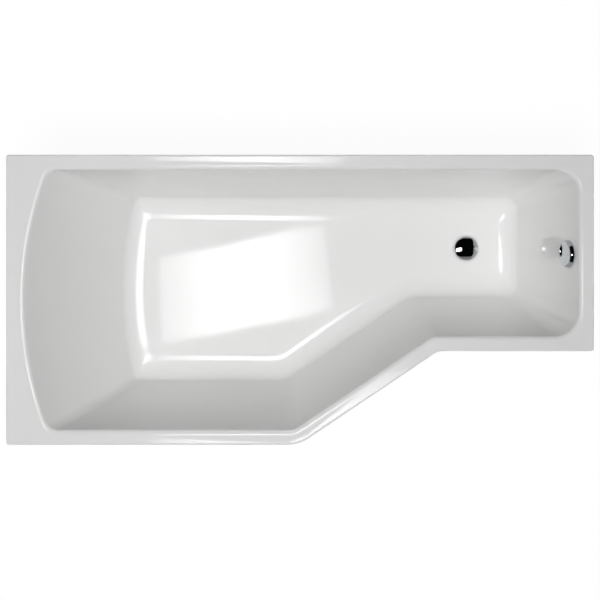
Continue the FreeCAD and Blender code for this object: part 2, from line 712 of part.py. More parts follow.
def trap_path():
    """Centreline of the trap: down, round the bottom bend, up and over to the outlet."""
    y = FITTINGS_Y
    r = TRAP_BEND
    far = y + 2 * r
    high = TRAP_CENTRE + TRAP_RISE
    slant = r * math.sqrt(0.5)
    places = [(y, TRAP_TOP), (y, TRAP_CENTRE), (y + r, TRAP_CENTRE - r), (far, TRAP_CENTRE), (far, high),
              (far + r - slant, high + slant), (far + r, high + r), (OUTLET_Y, OUTLET_Z)]
    p = [Vector(WASTE_X, at_y, at_z) for at_y, at_z in places]
    edges = [Part.LineSegment(p[0], p[1]), Part.Arc(p[1], p[2], p[3]), Part.LineSegment(p[3], p[4]),
             Part.Arc(p[4], p[5], p[6]), Part.LineSegment(p[6], p[7])]
    return Part.Wire([edge.toShape() for edge in edges])


def trap_bend():
    """The trap's bent pipe with the collar that its inlet nut pulls up."""
    path = trap_path()
    collar = moved(Part.makeCylinder(BODY_OUTLET_RADIUS, COLLAR, Vector(0, 0, TRAP_TOP - COLLAR)), WASTE)
    return swept(PIPE_RADIUS, path).fuse(collar).cut(swept(PIPE_RADIUS - PIPE_WALL, path))


def trap_inlet_nut():
    """The nut that joins the trap to the waste body, with a lip under the trap's collar."""
    bore = BODY_OUTLET_RADIUS + THREAD
    nut = ribbed_nut(bore, NUT_HEIGHT).fuse(ring(PIPE_RADIUS + THREAD, bore + NUT_WALL / 2, 0, NUT_LIP))
    nut.translate(Vector(WASTE_X, FITTINGS_Y, TRAP_TOP - COLLAR - SEAT - NUT_LIP))
    return nut


def pipe_nut(frame):
    """A nut over the butt joint of two pipes, its middle on the joint."""
    nut = ribbed_nut(PIPE_RADIUS + THREAD, NUT_HEIGHT)
    nut.translate(-Z_AXIS * (NUT_HEIGHT / 2))
    return moved(nut, frame)


def outlet_pipe():
    """The straight pipe that leaves towards the back, drawn in a little where the nut grips it."""
    start = Vector(WASTE_X, OUTLET_Y, OUTLET_Z)
    gripped = start + Y_AXIS * (NUT_HEIGHT / 2 + LOOSE)
    end = start + Y_AXIS * OUTLET_LENGTH
    outside = rod(PIPE_RADIUS - SPIGOT_RELIEF, start, gripped).fuse(rod(PIPE_RADIUS, gripped, end))
    return outside.cut(rod(PIPE_RADIUS - PIPE_WALL, start, end))


# Overflow, in its own frame: Z into the tub, X up the wall

KNOB_TOP = KNOB_GAP + KNOB_DEPTH
SPINDLE_TOP = KNOB_TOP - KNOB_WALL
DRUM_LOW = ELBOW_BACK + ELBOW_WALL + SEAT


def overflow_knob():
    """The chromed turning cap: a slightly domed face with a well rounded edge, hollow behind, on a hub."""
    bore = SPINDLE_RADIUS + RUNNING
    hub_low = RING_THICK + LOOSE
    edge_low = KNOB_TOP - KNOB_EDGE
    face = KNOB_RADIUS - KNOB_EDGE
    inside = KNOB_RADIUS - KNOB_WALL
    quarter = KNOB_EDGE * (1 - math.sqrt(0.5))
    inner_quarter = (KNOB_EDGE - KNOB_WALL) * (1 - math.sqrt(0.5))
    knob = turned((0, SPINDLE_TOP), (bore, SPINDLE_TOP), (bore, hub_low), (KNOB_HUB, hub_low),
                  (KNOB_HUB, SPINDLE_TOP), (face, SPINDLE_TOP, -inner_quarter), (inside, edge_low),
                  (inside, KNOB_GAP), (KNOB_RADIUS, KNOB_GAP), (KNOB_RADIUS, edge_low, quarter),
                  (face, KNOB_TOP, dome_bulge(face, KNOB_DOME)), (0, KNOB_TOP + KNOB_DOME))
    return moved(knob, OVERFLOW)


def knob_spindle():
    """The spindle from the knob back to the cable drum."""
    return moved(Part.makeCylinder(SPINDLE_RADIUS, SPINDLE_TOP - DRUM_LOW, Vector(0, 0, DRUM_LOW)), OVERFLOW)


def cable_drum():
    """The grooved drum on the spindle that pulls the cable."""
    bore = SPINDLE_RADIUS + RUNNING
    middle = DRUM_LOW + DRUM_WIDTH / 2
    high = DRUM_LOW + DRUM_WIDTH
    drum = turned((bore, DRUM_LOW), (DRUM_RADIUS, DRUM_LOW), (DRUM_RADIUS, middle - DRUM_GROOVE / 2),
                  (DRUM_RADIUS - DRUM_GROOVE, middle), (DRUM_RADIUS, middle + DRUM_GROOVE / 2),
                  (DRUM_RADIUS, high), (bore, high))
    return moved(drum, OVERFLOW)


def overflow_clamp_ring():
    """The ring inside the tub that clamps the wall: a flange, a threaded tail and a hub for the spindle."""
    low = GASKET_BACK - ELBOW_FLANGE_THICK
    body = turned((RING_BORE, low), (RING_TAIL, low), (RING_TAIL, 0), (RING_RADIUS, 0),
                  (RING_RADIUS, RING_THICK), (RING_BORE, RING_THICK))
    reach = (RING_BORE + RING_TAIL) / 2
    hub = spider(RING_HUB, SPINDLE_RADIUS + RUNNING, reach, RING_SPOKE, -SHELL, RING_THICK)
    return moved(body.fuse(hub), OVERFLOW)


def overflow_gasket():
    """The rubber ring between the wall's back face and the elbow."""
    return moved(ring(OVERFLOW_HOLE / 2, GASKET_RADIUS, GASKET_BACK, -SHELL), OVERFLOW)


def overflow_elbow():
    """The housing behind the wall: flange, closed chamber, hose spigot down the wall and a cable boss."""
    flange_back = GASKET_BACK - ELBOW_FLANGE_THICK
    throat = RING_TAIL + THREAD
    chamber = ELBOW_RADIUS - ELBOW_WALL
    outside = turned((0, ELBOW_BACK), (ELBOW_RADIUS, ELBOW_BACK), (ELBOW_RADIUS, flange_back),
                     (ELBOW_FLANGE_RADIUS, flange_back), (ELBOW_FLANGE_RADIUS, GASKET_BACK), (0, GASKET_BACK))
    inside = turned((0, ELBOW_BACK + ELBOW_WALL), (chamber, ELBOW_BACK + ELBOW_WALL),
                    (chamber, flange_back - chamber + throat), (throat, flange_back), (throat, GASKET_BACK),
                    (0, GASKET_BACK))
    start = Vector(-ELBOW_RADIUS / 2, 0, SPIGOT_Z)
    end = Vector(-SPIGOT_DROP, 0, SPIGOT_Z)
    boss_start = Vector(-ELBOW_WALL, CABLE_SIDE, SPIGOT_Z)
    boss_end = boss_start - X_AXIS * CABLE_BOSS_LENGTH
    socket = rod(CABLE_RADIUS + SEAT, boss_end + X_AXIS * CABLE_SEAT, boss_end)
    elbow = outside.fuse([rod(PIPE_RADIUS, start, end), rod(CABLE_BOSS, boss_start, boss_end)])
    bore = rod(PIPE_RADIUS - SPIGOT_WALL, start, end)
    return moved(elbow.cut([inside, bore, socket]), OVERFLOW)


# Hose and cable

def route(drop, side, end_x):
    """Start, bend and end of a line down the foot wall's back and in under the floor to the waste."""
    start = OVERFLOW.multVec(Vector(-drop, side, SPIGOT_Z))
    down = OVERFLOW.Rotation.multVec(-X_AXIS)
    turn = start + down * ((BRANCH_Z - start.z) / down.z)
    return start, down, turn, Vector(end_x, turn.y, BRANCH_Z)


def route_wire(drop, side, end_x):
    """The route as a wire: a straight run, a tangent arc and a straight run."""
    start, down, turn, end = route(drop, side, end_x)
    first, middle, last = line_corner(turn, down, -X_AXIS, HOSE_BEND)
    edges = [Part.LineSegment(start, first), Part.Arc(first, middle, last), Part.LineSegment(last, end)]
    return Part.Wire([edge.toShape() for edge in edges])


def along(wire, distance):
    """Point and direction on a wire at a distance from its start."""
    last = wire.Edges[-1]
    for edge in wire.Edges:
        if distance <= edge.Length or edge.isSame(last):
            at = edge.getParameterByLength(min(distance, edge.Length))
            return edge.valueAt(at), edge.tangentAt(at)
        distance -= edge.Length


def hose_circle(wire, distance, radius):
    """A circle across the hose's route, its X axis kept along Y."""
    at, tangent = along(wire, distance)
    turn = Rotation(Y_AXIS, tangent.cross(Y_AXIS), tangent, "ZXY")
    circle = Part.Wire(Part.makeCircle(radius))
    circle.Placement = Placement(at, turn)
    return circle


def overflow_hose():
    """The ribbed hose: plain cuffs at both ends, square-topped ribs between, and a smooth bore."""
    wire = route_wire(SPIGOT_DROP, 0.0, WASTE_X + BODY_RADIUS + BRANCH_LENGTH)
    count = int((wire.Length - 2 * HOSE_CUFF) / HOSE_RIB_PITCH)
    pitch = (wire.Length - 2 * HOSE_CUFF) / count
    root = HOSE_RADIUS - HOSE_RIB_DEPTH
    circles = [hose_circle(wire, 0.0, HOSE_RADIUS)]
    for i in range(count):
        start = HOSE_CUFF + i * pitch
        for share, radius in ((0.0, HOSE_RADIUS), (0.2, root), (0.5, root), (0.7, HOSE_RADIUS)):
            circles.append(hose_circle(wire, start + share * pitch, radius))
    circles.append(hose_circle(wire, wire.Length, HOSE_RADIUS))
    return Part.makeLoft(circles, True, True).cut(swept(HOSE_BORE, wire))


def control_cable():
    """The sheathed cable from the overflow's drum to the lever, seated in a boss at either end."""
    drop = ELBOW_WALL + CABLE_BOSS_LENGTH - CABLE_SEAT + SEAT
    end_x = WASTE_X + BODY_RADIUS / 4 + CABLE_BOSS_LENGTH - CABLE_SEAT + SEAT
    return swept(CABLE_RADIUS, route_wire(drop, CABLE_SIDE, end_x))


SPIGOT_END = Placement(OVERFLOW.multVec(Vector(-SPIGOT_DROP, 0, SPIGOT_Z)),
                       OVERFLOW.Rotation.multiply(Rotation(Y_AXIS, 90)))
BRANCH_END = Placement(Vector(WASTE_X + BODY_RADIUS + BRANCH_LENGTH, FITTINGS_Y, BRANCH_Z),
                       Rotation(Y_AXIS, 90))
OUTLET_JOINT = Placement(Vector(WASTE_X, OUTLET_Y, OUTLET_Z), Rotation(X_AXIS, -90))


def write(name, shape):
    """Writes one named piece to its own file, after a check that it is whole."""
    if not shape.isValid():
        raise ValueError(f"{name} is not a valid solid")
    solids = shape.Solids
    result = solids[0] if len(solids) == 1 else Part.makeCompound(solids)
    result.exportStep(f"parts/{name}.step")
    print(name, len(solids), "solid(s)", round(result.Volume / 1000, 1), "cm3")


os.makedirs("parts", exist_ok=True)
write("acrylic_shell", acrylic_shell())
write("base_board", base_board())
write("cradle_rail_head", cradle_rail("head"))
write("cradle_rail_foot", cradle_rail("foot"))
write("rail_screws", rail_screws())
write("stud_nuts", stud_nuts())
for number, place in enumerate(feet(), 1):
    write(f"foot_stud_{number}", foot_stud(place))
    write(f"foot_pad_{number}", foot_pad(place))
write("waste_flange", waste_flange())
upper_gasket = ring(WASTE_HOLE / 2, FLANGE_RADIUS - FLANGE_BEVEL, RECESS_Z, FLANGE_LOW)
write("waste_gasket_upper", moved(upper_gasket, WASTE))
write("waste_gasket_lower", moved(ring(WASTE_HOLE / 2, BODY_FLANGE_RADIUS, BODY_TOP, UNDERSIDE_Z), WASTE))
write("waste_body", waste_body())
write("plug_cap", plug_cap())
write("plug_seal", plug_seal())
write("plug_stem", plug_stem())
write("lift_lever", lift_lever())
washer = ring(BODY_OUTLET_RADIUS - BODY_WALL, BODY_OUTLET_RADIUS, TRAP_TOP, OUTLET_BOTTOM)
write("trap_washer", moved(washer, WASTE))
write("trap_inlet_nut", trap_inlet_nut())
write("trap_bend", trap_bend())
write("trap_outlet_nut", pipe_nut(OUTLET_JOINT))
write("outlet_pipe", outlet_pipe())
write("overflow_knob", overflow_knob())
write("knob_spindle", knob_spindle())
write("cable_drum", cable_drum())
write("overflow_clamp_ring", overflow_clamp_ring())
write("overflow_gasket", overflow_gasket())
write("overflow_elbow", overflow_elbow())
write("hose_nut_upper", pipe_nut(SPIGOT_END))
write("overflow_hose", overflow_hose())
write("hose_nut_lower", pipe_nut(BRANCH_END))
write("control_cable", control_cable())
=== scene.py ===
# %% [markdown]
# # An asymmetric corner bath, seen from above
# The object is a white acrylic bath with a wide head end, a slanting front side and a narrow foot end.
# Below the rim it has a glass-fibre back, a board, two rails with four feet, and the waste with its
# overflow hose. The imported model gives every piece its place.

# %% Load the frame
import math

import bmesh
import bpy
import numpy as np
from mathutils import Matrix, Vector
from mathutils.geometry import delaunay_2d_cdt


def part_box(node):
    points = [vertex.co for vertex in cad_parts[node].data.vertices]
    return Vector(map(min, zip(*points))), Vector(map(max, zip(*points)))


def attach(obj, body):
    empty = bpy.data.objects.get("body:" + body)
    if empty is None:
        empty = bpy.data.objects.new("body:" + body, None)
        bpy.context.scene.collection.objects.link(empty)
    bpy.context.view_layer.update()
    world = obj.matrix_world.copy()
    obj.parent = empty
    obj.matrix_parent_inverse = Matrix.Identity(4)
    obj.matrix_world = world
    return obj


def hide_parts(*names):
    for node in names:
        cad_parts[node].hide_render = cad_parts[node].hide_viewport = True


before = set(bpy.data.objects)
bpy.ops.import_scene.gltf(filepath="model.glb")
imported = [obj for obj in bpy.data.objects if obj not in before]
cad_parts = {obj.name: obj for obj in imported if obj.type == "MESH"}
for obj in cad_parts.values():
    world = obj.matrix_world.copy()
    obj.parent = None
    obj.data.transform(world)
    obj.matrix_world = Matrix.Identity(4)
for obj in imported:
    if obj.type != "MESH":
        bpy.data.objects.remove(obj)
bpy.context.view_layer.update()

# %% [markdown]
# ## Camera
# The rim in the photograph is a true rectangle, with no side running to a vanishing point, so the camera
# looks straight down. The tub's floor sits higher in the picture than the middle of the rim, so the camera
# stands nearer to the back edge than the picture's middle. A lens shift keeps the view square while the
# frame takes in the whole rim.

# %% Camera
scene = bpy.context.scene
camera_data = bpy.data.cameras.new("camera")
camera = bpy.data.objects.new("camera", camera_data)
scene.collection.objects.link(camera)
camera.location = (-0.0276, 0.2708, 3.6)
camera_data.sensor_fit = "HORIZONTAL"
camera_data.sensor_width = 36.0
camera_data.lens = 66.23
camera_data.shift_x = 0.0169
camera_data.shift_y = -0.1661
scene.camera = camera
scene.view_settings.view_transform = "Standard"
print("camera at", tuple(camera.location))

# %% [markdown]
# ## Writing nodes as sums
# Node trees are easier to read as sums. A `Wire` is a socket that can be added, taken away, multiplied and
# divided, and each operator puts a Math node in the tree. The reflected forms make `1 - mask` work too. A
# `Bench` holds one tree: `calc` adds a Math node, and `add` adds any other node, first its settings, then
# the values or wires of its sockets.

# %% Wire and Bench
class Wire:
    """An output socket that can stand in a sum."""

    def __init__(self, bench, socket):
        self.bench = bench
        self.socket = socket

    def math(self, operation, *others):
        """A Math node that starts with this socket."""
        return self.bench.calc(operation, self, *others)

    def __add__(self, other):
        return self.math("ADD", other)

    def __radd__(self, other):
        return self.bench.calc("ADD", other, self)

    def __sub__(self, other):
        return self.math("SUBTRACT", other)

    def __rsub__(self, other):
        return self.bench.calc("SUBTRACT", other, self)

    def __mul__(self, other):
        return self.math("MULTIPLY", other)

    def __rmul__(self, other):
        return self.bench.calc("MULTIPLY", other, self)

    def __truediv__(self, other):
        return self.math("DIVIDE", other)

    def __rtruediv__(self, other):
        return self.bench.calc("DIVIDE", other, self)

    def other(self, name):
        """Another output of the same node."""
        return Wire(self.bench, self.socket.node.outputs[name])


class Bench:
    """One node tree that is being put together."""

    def __init__(self, tree):
        self.tree = tree

    def add(self, kind, settings=None, sockets=None, out=0):
        """A node with its settings and sockets, and a wire from one of its outputs."""
        node = self.tree.nodes.new(kind)
        for name, value in (settings or {}).items():
            if name == "stops":
                self.set_stops(node.color_ramp, value)
            else:
                setattr(node, name, value)
        for key, value in (sockets or {}).items():
            if isinstance(value, Wire):
                self.tree.links.new(value.socket, node.inputs[key])
            else:
                node.inputs[key].default_value = value
        return Wire(self, node.outputs[out]) if len(node.outputs) else node

    def calc(self, operation, *values):
        """A Math node on values and wires."""
        return self.add("ShaderNodeMath", {"operation": operation}, dict(enumerate(values)))

    def set_stops(self, ramp, stops):
        """The stops of a colour ramp, as (place, colour)."""
        while len(ramp.elements) > 1:
            ramp.elements.remove(ramp.elements[-1])
        for i, (place, color) in enumerate(stops):
            element = ramp.elements[0] if i == 0 else ramp.elements.new(place)
            element.position = place
            element.color = (*color, 1.0)


print("node helpers ready")

# %% [markdown]
# Two small steps come back in nearly every tree, for lamps, room and finishes alike: `step` turns a value
# into a mask with soft edges, and `between` blends two colours by a mask.

# %% Masks
def step(bench, value, low, high):
    """A soft step: 0 below low, 1 above high."""
    return bench.add("ShaderNodeMapRange", {"interpolation_type": "SMOOTHSTEP"},
                     {"Value": value, "From Min": low, "From Max": high})


def between(bench, mask, first, second):
    """A colour that goes from the first to the second with the mask."""
    colors = [c if isinstance(c, Wire) else (*c, 1.0) for c in (first, second)]
    return bench.add("ShaderNodeMix", {"data_type": "RGBA"}, {0: mask, 6: colors[0], 7: colors[1]}, out=2)


print("mask helpers ready")

# %% [markdown]
# ## Light
# One oblong soft box hangs beside the camera, and its mirror image is the slanted white patch on the tub's
# floor. The patch is brightest in its middle and fades along its length, so the soft box is brightest
# halfway along and fades towards its two short ends. An area light shows its true outline in the gloss, and
# its own small node tree makes that falloff. Two wider lamps above carry most of the light, and four low
# ones, all below the rim, light the outside for a look from the side. These are left out of reflections,
# because the photograph shows no other lamp in the chrome or the gloss.

# %% Lamps
def lamp(name, place, angles, size, power):
    """An oblong area light that the camera doesn't see."""
    data = bpy.data.lights.new(name, "AREA")
    data.shape = "RECTANGLE"
    data.size, data.size_y = size
    data.energy = power
    made = bpy.data.objects.new(name, data)
    made.location = place
    made.rotation_euler = [math.radians(angle) for angle in angles]
    made.visible_camera = False
    scene.collection.objects.link(made)
    print("lamp", name, size, "m,", power, "W")
    return made


SOFT_BOX = (1.072, 0.613)
SOFT_POWER = math.pi * SOFT_BOX[0] * SOFT_BOX[1]
MIDDLE_GLOW, END_GLOW, FADE = 8.6, 3.1, (0.07, 0.55)
SIDE_DISTANCE, SIDE_HEIGHT = 3.4, 0.30
softbox = lamp("soft_box", (-0.257, -0.244, 3.6), (35.0, 8.0, 12.1), SOFT_BOX, SOFT_POWER)
high = lamp("high_fill", (-0.50, -0.95, 7.5), (7.9, -4.0, 0.0), (2.4, 1.7), 134.0)
over = lamp("over_fill", (-0.25, -0.30, 3.7), (5.9, -4.2, 0.0), (1.2, 0.8), 32.0)
fills = [high, over]
for turn in range(4):
    side = Matrix.Rotation(turn * math.pi / 2, 3, "Z") @ Vector((0.0, -SIDE_DISTANCE, SIDE_HEIGHT))
    fills.append(lamp(f"side_fill_{turn}", side, (90.0, 0.0, turn * 90.0), (2.6, 0.44), 15.0))
for fill in fills:
    fill.visible_glossy = False

softbox.data.use_nodes = True
softbox.data.node_tree.nodes.clear()
bench = Bench(softbox.data.node_tree)
spot = bench.add("ShaderNodeNewGeometry", out="Parametric")
along = bench.add("ShaderNodeSeparateXYZ", {}, {0: spot}, out="X")
off = (along - 0.5).math("ABSOLUTE")
glow = MIDDLE_GLOW + (END_GLOW - MIDDLE_GLOW) * step(bench, off, *FADE)
bench.add("ShaderNodeOutputLight", {}, {"Surface": bench.add("ShaderNodeEmission", {}, {"Strength": glow})})

# %% [markdown]
# The room is dark overhead, which is why the plug looks black, and pale at the horizon. A smooth step on
# the height of the direction joins the two. Matt surfaces get no light from it, so that the lamps alone
# shape the tub.

# %% World
world = bpy.data.worlds.new("room")
world.use_nodes = True
world.node_tree.nodes.clear()
scene.world = world
bench = Bench(world.node_tree)
direction = bench.add("ShaderNodeTexCoord", out="Generated")
height = bench.add("ShaderNodeSeparateXYZ", {}, {0: direction}, out="Z")
WHITE, NEARLY_BLACK, NONE = (1.0, 1.0, 1.0), (0.002, 0.002, 0.002), (0.0, 0.0, 0.0)
overhead = step(bench, height, 0.05, 0.45)
seen_room = between(bench, overhead, WHITE, NEARLY_BLACK)
matt = bench.add("ShaderNodeLightPath", out="Is Diffuse Ray")
room = between(bench, matt, seen_room, NONE)
light = bench.add("ShaderNodeBackground", {}, {"Color": room, "Strength": 1.0})
bench.add("ShaderNodeOutputWorld", {}, {"Surface": light})
print("room: pale at the horizon, dark overhead")

# %% [markdown]
# ## Finishes
# Every finish starts from the piece's own coordinates, so a pattern stays on the piece when it moves.
# `finish` opens a material, `speckle` gives noise at a size in metres, and `shade` closes the material with
# its colour, roughness and relief. A varying value feeds only these, because they can be baked.

# %% Helpers for finishes
def finish(name):
    """Opens a new material: the material, its bench and the piece's coordinates."""
    material = bpy.data.materials.new(name)
    material.use_nodes = True
    material.node_tree.nodes.clear()
    bench = Bench(material.node_tree)
    return material, bench, bench.add("ShaderNodeTexCoord", out="Object")


def speckle(bench, at, size, detail=2.0, stretch=None, turn=(0.0, 0.0, 0.0)):
    """Noise from 0 to 1 whose blotches are about `size` metres across, longer where stretched."""
    if stretch:
        at = bench.add("ShaderNodeMapping", {"vector_type": "TEXTURE"},
                       {"Vector": at, "Rotation": turn, "Scale": stretch})
    return bench.add("ShaderNodeTexNoise", {}, {"Vector": at, "Scale": 0.5 / size, "Detail": detail})


def shade(bench, color, roughness, relief=None, depth=0.0, **constants):
    """Closes a material. Relief is a height from 0 to 1, and depth is its size in metres."""
    sockets = {"Base Color": color, "Roughness": roughness}
    if relief is not None:
        sockets["Normal"] = bench.add("ShaderNodeBump", {}, {"Height": relief, "Distance": depth})
    for name, value in constants.items():
        sockets[name.replace("_", " ").title().replace("Ior", "IOR")] = value
    surface = bench.add("ShaderNodeBsdfPrincipled", {}, sockets)
    bench.add("ShaderNodeOutputMaterial", {}, {"Surface": surface})


print("finish helpers ready")

# %% [markdown]
# The tub is white acrylic sheet, drawn into a mould by suction. Its gloss is hard and clean, but the sheet
# is never quite flat: a long, shallow wave bends the edges of what it mirrors. A faint mottle keeps the
# white from looking painted.

# %% Finish: acrylic
acrylic, bench, at = finish("acrylic_gloss")
wave = speckle(bench, at, 0.07, 1.0)
peel = speckle(bench, at, 0.004, 1.0)
mottle = speckle(bench, at, 0.12, 3.0)
color = between(bench, mottle, (0.962, 0.964, 0.958), (0.976, 0.976, 0.971))
shade(bench, color, 0.035 + 0.03 * mottle, wave + 0.006 * peel, 0.0003, ior=1.49)
print("finish", acrylic.name)

# %% [markdown]
# Behind the acrylic is a layer of chopped glass fibre in resin. Its strands lie in every direction, so six
# noises, each drawn out along its own line, are laid over each other and cut to thin lines.

# %% Finish: glass fibre
glass_fibre, bench, at = finish("glass_fibre")
strands = None
for rise, round_z in ((0.5, 0.2), (-0.6, 1.3), (0.9, 2.2), (-0.3, 2.9), (1.2, 0.7), (0.1, 1.7)):
    streak = speckle(bench, at, 0.0026, 1.0, (1.0, 12.0, 1.0), (rise, 0.0, round_z))
    line = step(bench, streak, 0.60, 0.70)
    strands = line if strands is None else strands + line - strands * line
resin = speckle(bench, at, 0.05, 4.0)
color = between(bench, resin, (0.60, 0.555, 0.44), (0.72, 0.68, 0.58))
color = between(bench, strands * 0.6, color, (0.83, 0.82, 0.76))
shade(bench, color, 0.58 - 0.25 * resin, strands + resin, 0.0006)
print("finish", glass_fibre.name)

# %% [markdown]
# The base board is chipboard: flat chips of two sizes pressed together. Cells of random shade give the
# chips, and a darker, finer set of cells fills the spaces between them.

# %% Finish: chipboard
chipboard, bench, at = finish("chipboard")
large = bench.add("ShaderNodeTexVoronoi", {}, {"Vector": at, "Scale": 160.0}, out="Color")
small = bench.add("ShaderNodeTexVoronoi", {}, {"Vector": at, "Scale": 420.0}, out="Color")
chip = bench.add("ShaderNodeSeparateColor", {}, {0: large}, out="Red")
dust = bench.add("ShaderNodeSeparateColor", {}, {0: small}, out="Green")
tone = chip * 0.65 + dust * 0.35
color = bench.add("ShaderNodeValToRGB", {"stops": [(0.15, (0.30, 0.19, 0.10)), (0.45, (0.52, 0.37, 0.21)),
                                                   (0.75, (0.66, 0.51, 0.32)), (0.95, (0.76, 0.63, 0.43))]},
                  {0: tone})
shade(bench, color, 0.75 + 0.15 * dust, tone, 0.0004)
print("finish", chipboard.name)

# %% [markdown]
# Hot-dip zinc cools in crystals, each with its own shade. That is a cell pattern on bare metal.

# %% Finish: galvanised sheet
galvanised, bench, at = finish("galvanised_sheet")
cells = bench.add("ShaderNodeTexVoronoi", {}, {"Vector": at, "Scale": 70.0}, out="Color")
crystal = bench.add("ShaderNodeSeparateColor", {}, {0: cells}, out="Red")
bloom = speckle(bench, at, 0.015, 5.0)
color = between(bench, crystal * 0.6 + bloom * 0.4, (0.50, 0.52, 0.54), (0.78, 0.79, 0.80))
shade(bench, color, 0.30 + 0.22 * crystal + 0.1 * bloom, crystal, 0.00008, metallic=0.92)
print("finish", galvanised.name)

# %% [markdown]
# Bolts, nuts and screws are zinc plated: brighter than the rails, with a faint straw tint in patches.

# %% Finish: zinc plate
zinc, bench, at = finish("zinc_plate")
patch = speckle(bench, at, 0.008, 4.0)
rub = speckle(bench, at, 0.0012, 2.0)
color = between(bench, patch, (0.66, 0.67, 0.69), (0.79, 0.76, 0.66))
shade(bench, color, 0.22 + 0.25 * rub, rub, 0.00004, metallic=1.0)
print("finish", zinc.name)

# %% [markdown]
# The plug, its flange and the overflow knob are chrome. Polished chrome is nearly a mirror, so almost all
# its looks come from the room; faint wiping marks and dried water spots show only in its roughness.

# %% Finish: chrome
chrome, bench, at = finish("chrome")
wipe = speckle(bench, at, 0.0016, 3.0, (1.0, 8.0, 1.0), (0.0, 0.0, 0.7))
spots = bench.add("ShaderNodeTexVoronoi", {}, {"Vector": at, "Scale": 130.0}, out="Distance")
dried = 1.0 - step(bench, spots, 0.10, 0.22)
color = between(bench, dried * 0.25, (0.600, 0.630, 0.655), (0.54, 0.56, 0.58))
shade(bench, color, 0.025 + 0.03 * wipe + 0.05 * dried, metallic=1.0)
print("finish", chrome.name)

# %% [markdown]
# Brass for the stem, the lever and the spindle: turned, so fine marks run round it, with a duller bloom.

# %% Finish: brass
brass, bench, at = finish("turned_brass")
bloom = speckle(bench, at, 0.006, 4.0)
marks = speckle(bench, at, 0.0005, 2.0, (5.0, 5.0, 1.0))
color = between(bench, bloom, (0.62, 0.46, 0.20), (0.82, 0.66, 0.36))
shade(bench, color, 0.22 + 0.2 * bloom, marks, 0.00003, metallic=1.0)
print("finish", brass.name)

# %% [markdown]
# The plastics and the rubber differ in colour, gloss and grain, so one function makes them all: a fine
# moulded grain for relief, and a wide cloud of slightly darker and duller plastic.

# %% Finish: moulded plastics and rubber
def moulded(name, dark, light, dull, grain, depth):
    """A moulded material between two close colours, with a grain of the given size and depth."""
    material, bench, at = finish(name)
    cloud = speckle(bench, at, 0.03, 4.0)
    pits = speckle(bench, at, grain, 2.0)
    shade(bench, between(bench, cloud * 0.7 + pits * 0.3, dark, light), dull + 0.12 * cloud, pits, depth)
    return material


foot_plastic = moulded("foot_plastic", (0.035, 0.035, 0.037), (0.075, 0.075, 0.078), 0.45, 0.0008, 0.00010)
rubber = moulded("seal_rubber", (0.030, 0.030, 0.030), (0.060, 0.060, 0.058), 0.68, 0.0012, 0.00012)
white_plastic = moulded("white_plastic", (0.76, 0.76, 0.73), (0.85, 0.85, 0.83), 0.30, 0.0010, 0.00004)
grey_plastic = moulded("grey_plastic", (0.33, 0.345, 0.36), (0.44, 0.455, 0.47), 0.38, 0.0008, 0.00006)
hose_plastic = moulded("hose_plastic", (0.72, 0.72, 0.69), (0.82, 0.82, 0.79), 0.34, 0.0014, 0.00006)
cable_sheath = moulded("cable_sheath", (0.040, 0.040, 0.043), (0.085, 0.085, 0.090), 0.42, 0.0006, 0.00008)
print("finishes:", len(bpy.data.materials))

# %% [markdown]
# ## Pieces
# `piece` puts a finished mesh in the scene: its finishes in material slots, the body it rides on, and the CAD
# nodes it stands for, which it hides.

# %% Helper for pieces
def piece(name, mesh, finishes, body, nodes):
    """Adds a mesh as a named piece of the object. Each face keeps the number of its finish."""
    made = bpy.data.objects.new(name, mesh)
    scene.collection.objects.link(made)
    places = np.zeros(len(mesh.polygons), dtype=np.int32)
    mesh.polygons.foreach_get("material_index", places)
    mesh.materials.clear()
    for one in finishes:
        mesh.materials.append(one)
    mesh.polygons.foreach_set("material_index", places)
    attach(made, body)
    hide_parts(*nodes)
    print("piece", name, len(mesh.polygons), "faces")


def mesh_from(name, points, faces):
    """A mesh with its faces turned outwards."""
    mesh = bpy.data.meshes.new(name)
    mesh.from_pydata([tuple(float(n) for n in p) for p in points], [], faces)
    form = bmesh.new()
    form.from_mesh(mesh)
    bmesh.ops.remove_doubles(form, verts=form.verts, dist=1e-6)
    bmesh.ops.recalc_face_normals(form, faces=form.faces)
    form.to_mesh(mesh)
    form.free()
    return mesh


def smoothed(mesh, degrees=38.0):
    """Smooth shading, with edges sharper than the given angle kept crisp."""
    mesh.shade_smooth()
    mesh.set_sharp_from_angle(angle=math.radians(degrees))
    return mesh


def applied(name, mesh, *modifiers):
    """The mesh after modifiers, given as (type, settings), each applied to it."""
    worker = bpy.data.objects.new(name, mesh)
    scene.collection.objects.link(worker)
    for kind, settings in modifiers:
        modifier = worker.modifiers.new(kind.lower(), kind)
        for key, value in settings.items():
            setattr(modifier, key, value)
    graph = bpy.context.evaluated_depsgraph_get()
    result = bpy.data.meshes.new_from_object(worker.evaluated_get(graph))
    bpy.data.objects.remove(worker)
    result.name = name
    return result


print("piece helpers ready")

# %% [markdown]
# ## The tub
# The tub is the piece that is looked at most. Its outline has six rounded corners, five straight sides and
# a bowed head edge, and it changes with the depth: the sides lean in, the head side leans more, and the
# corners of its ends grow tighter while the two bends of the front grow wider. A stack of such outlines,
# joined ring by ring, gives exactly that form, with close rings where the wall turns into the rim and into
# the floor. A subdivided cage would be quicker to draw, but it would lose the straight runs between the
# corners, on which the reflections show every dent.
#
# All sizes are in metres. `RIM_FALL` is how far the rim falls from its outer edge to the mouth, and
# `RIM_BEND` how many times steeper than its mean the rim is at that edge. `MOUTH` is the width and the
# height of the rounding from the rim into the wall, and `FLOOR_RISE` the height of the rounding into the
# floor. The sizes named for the front hold along the front and the slant.

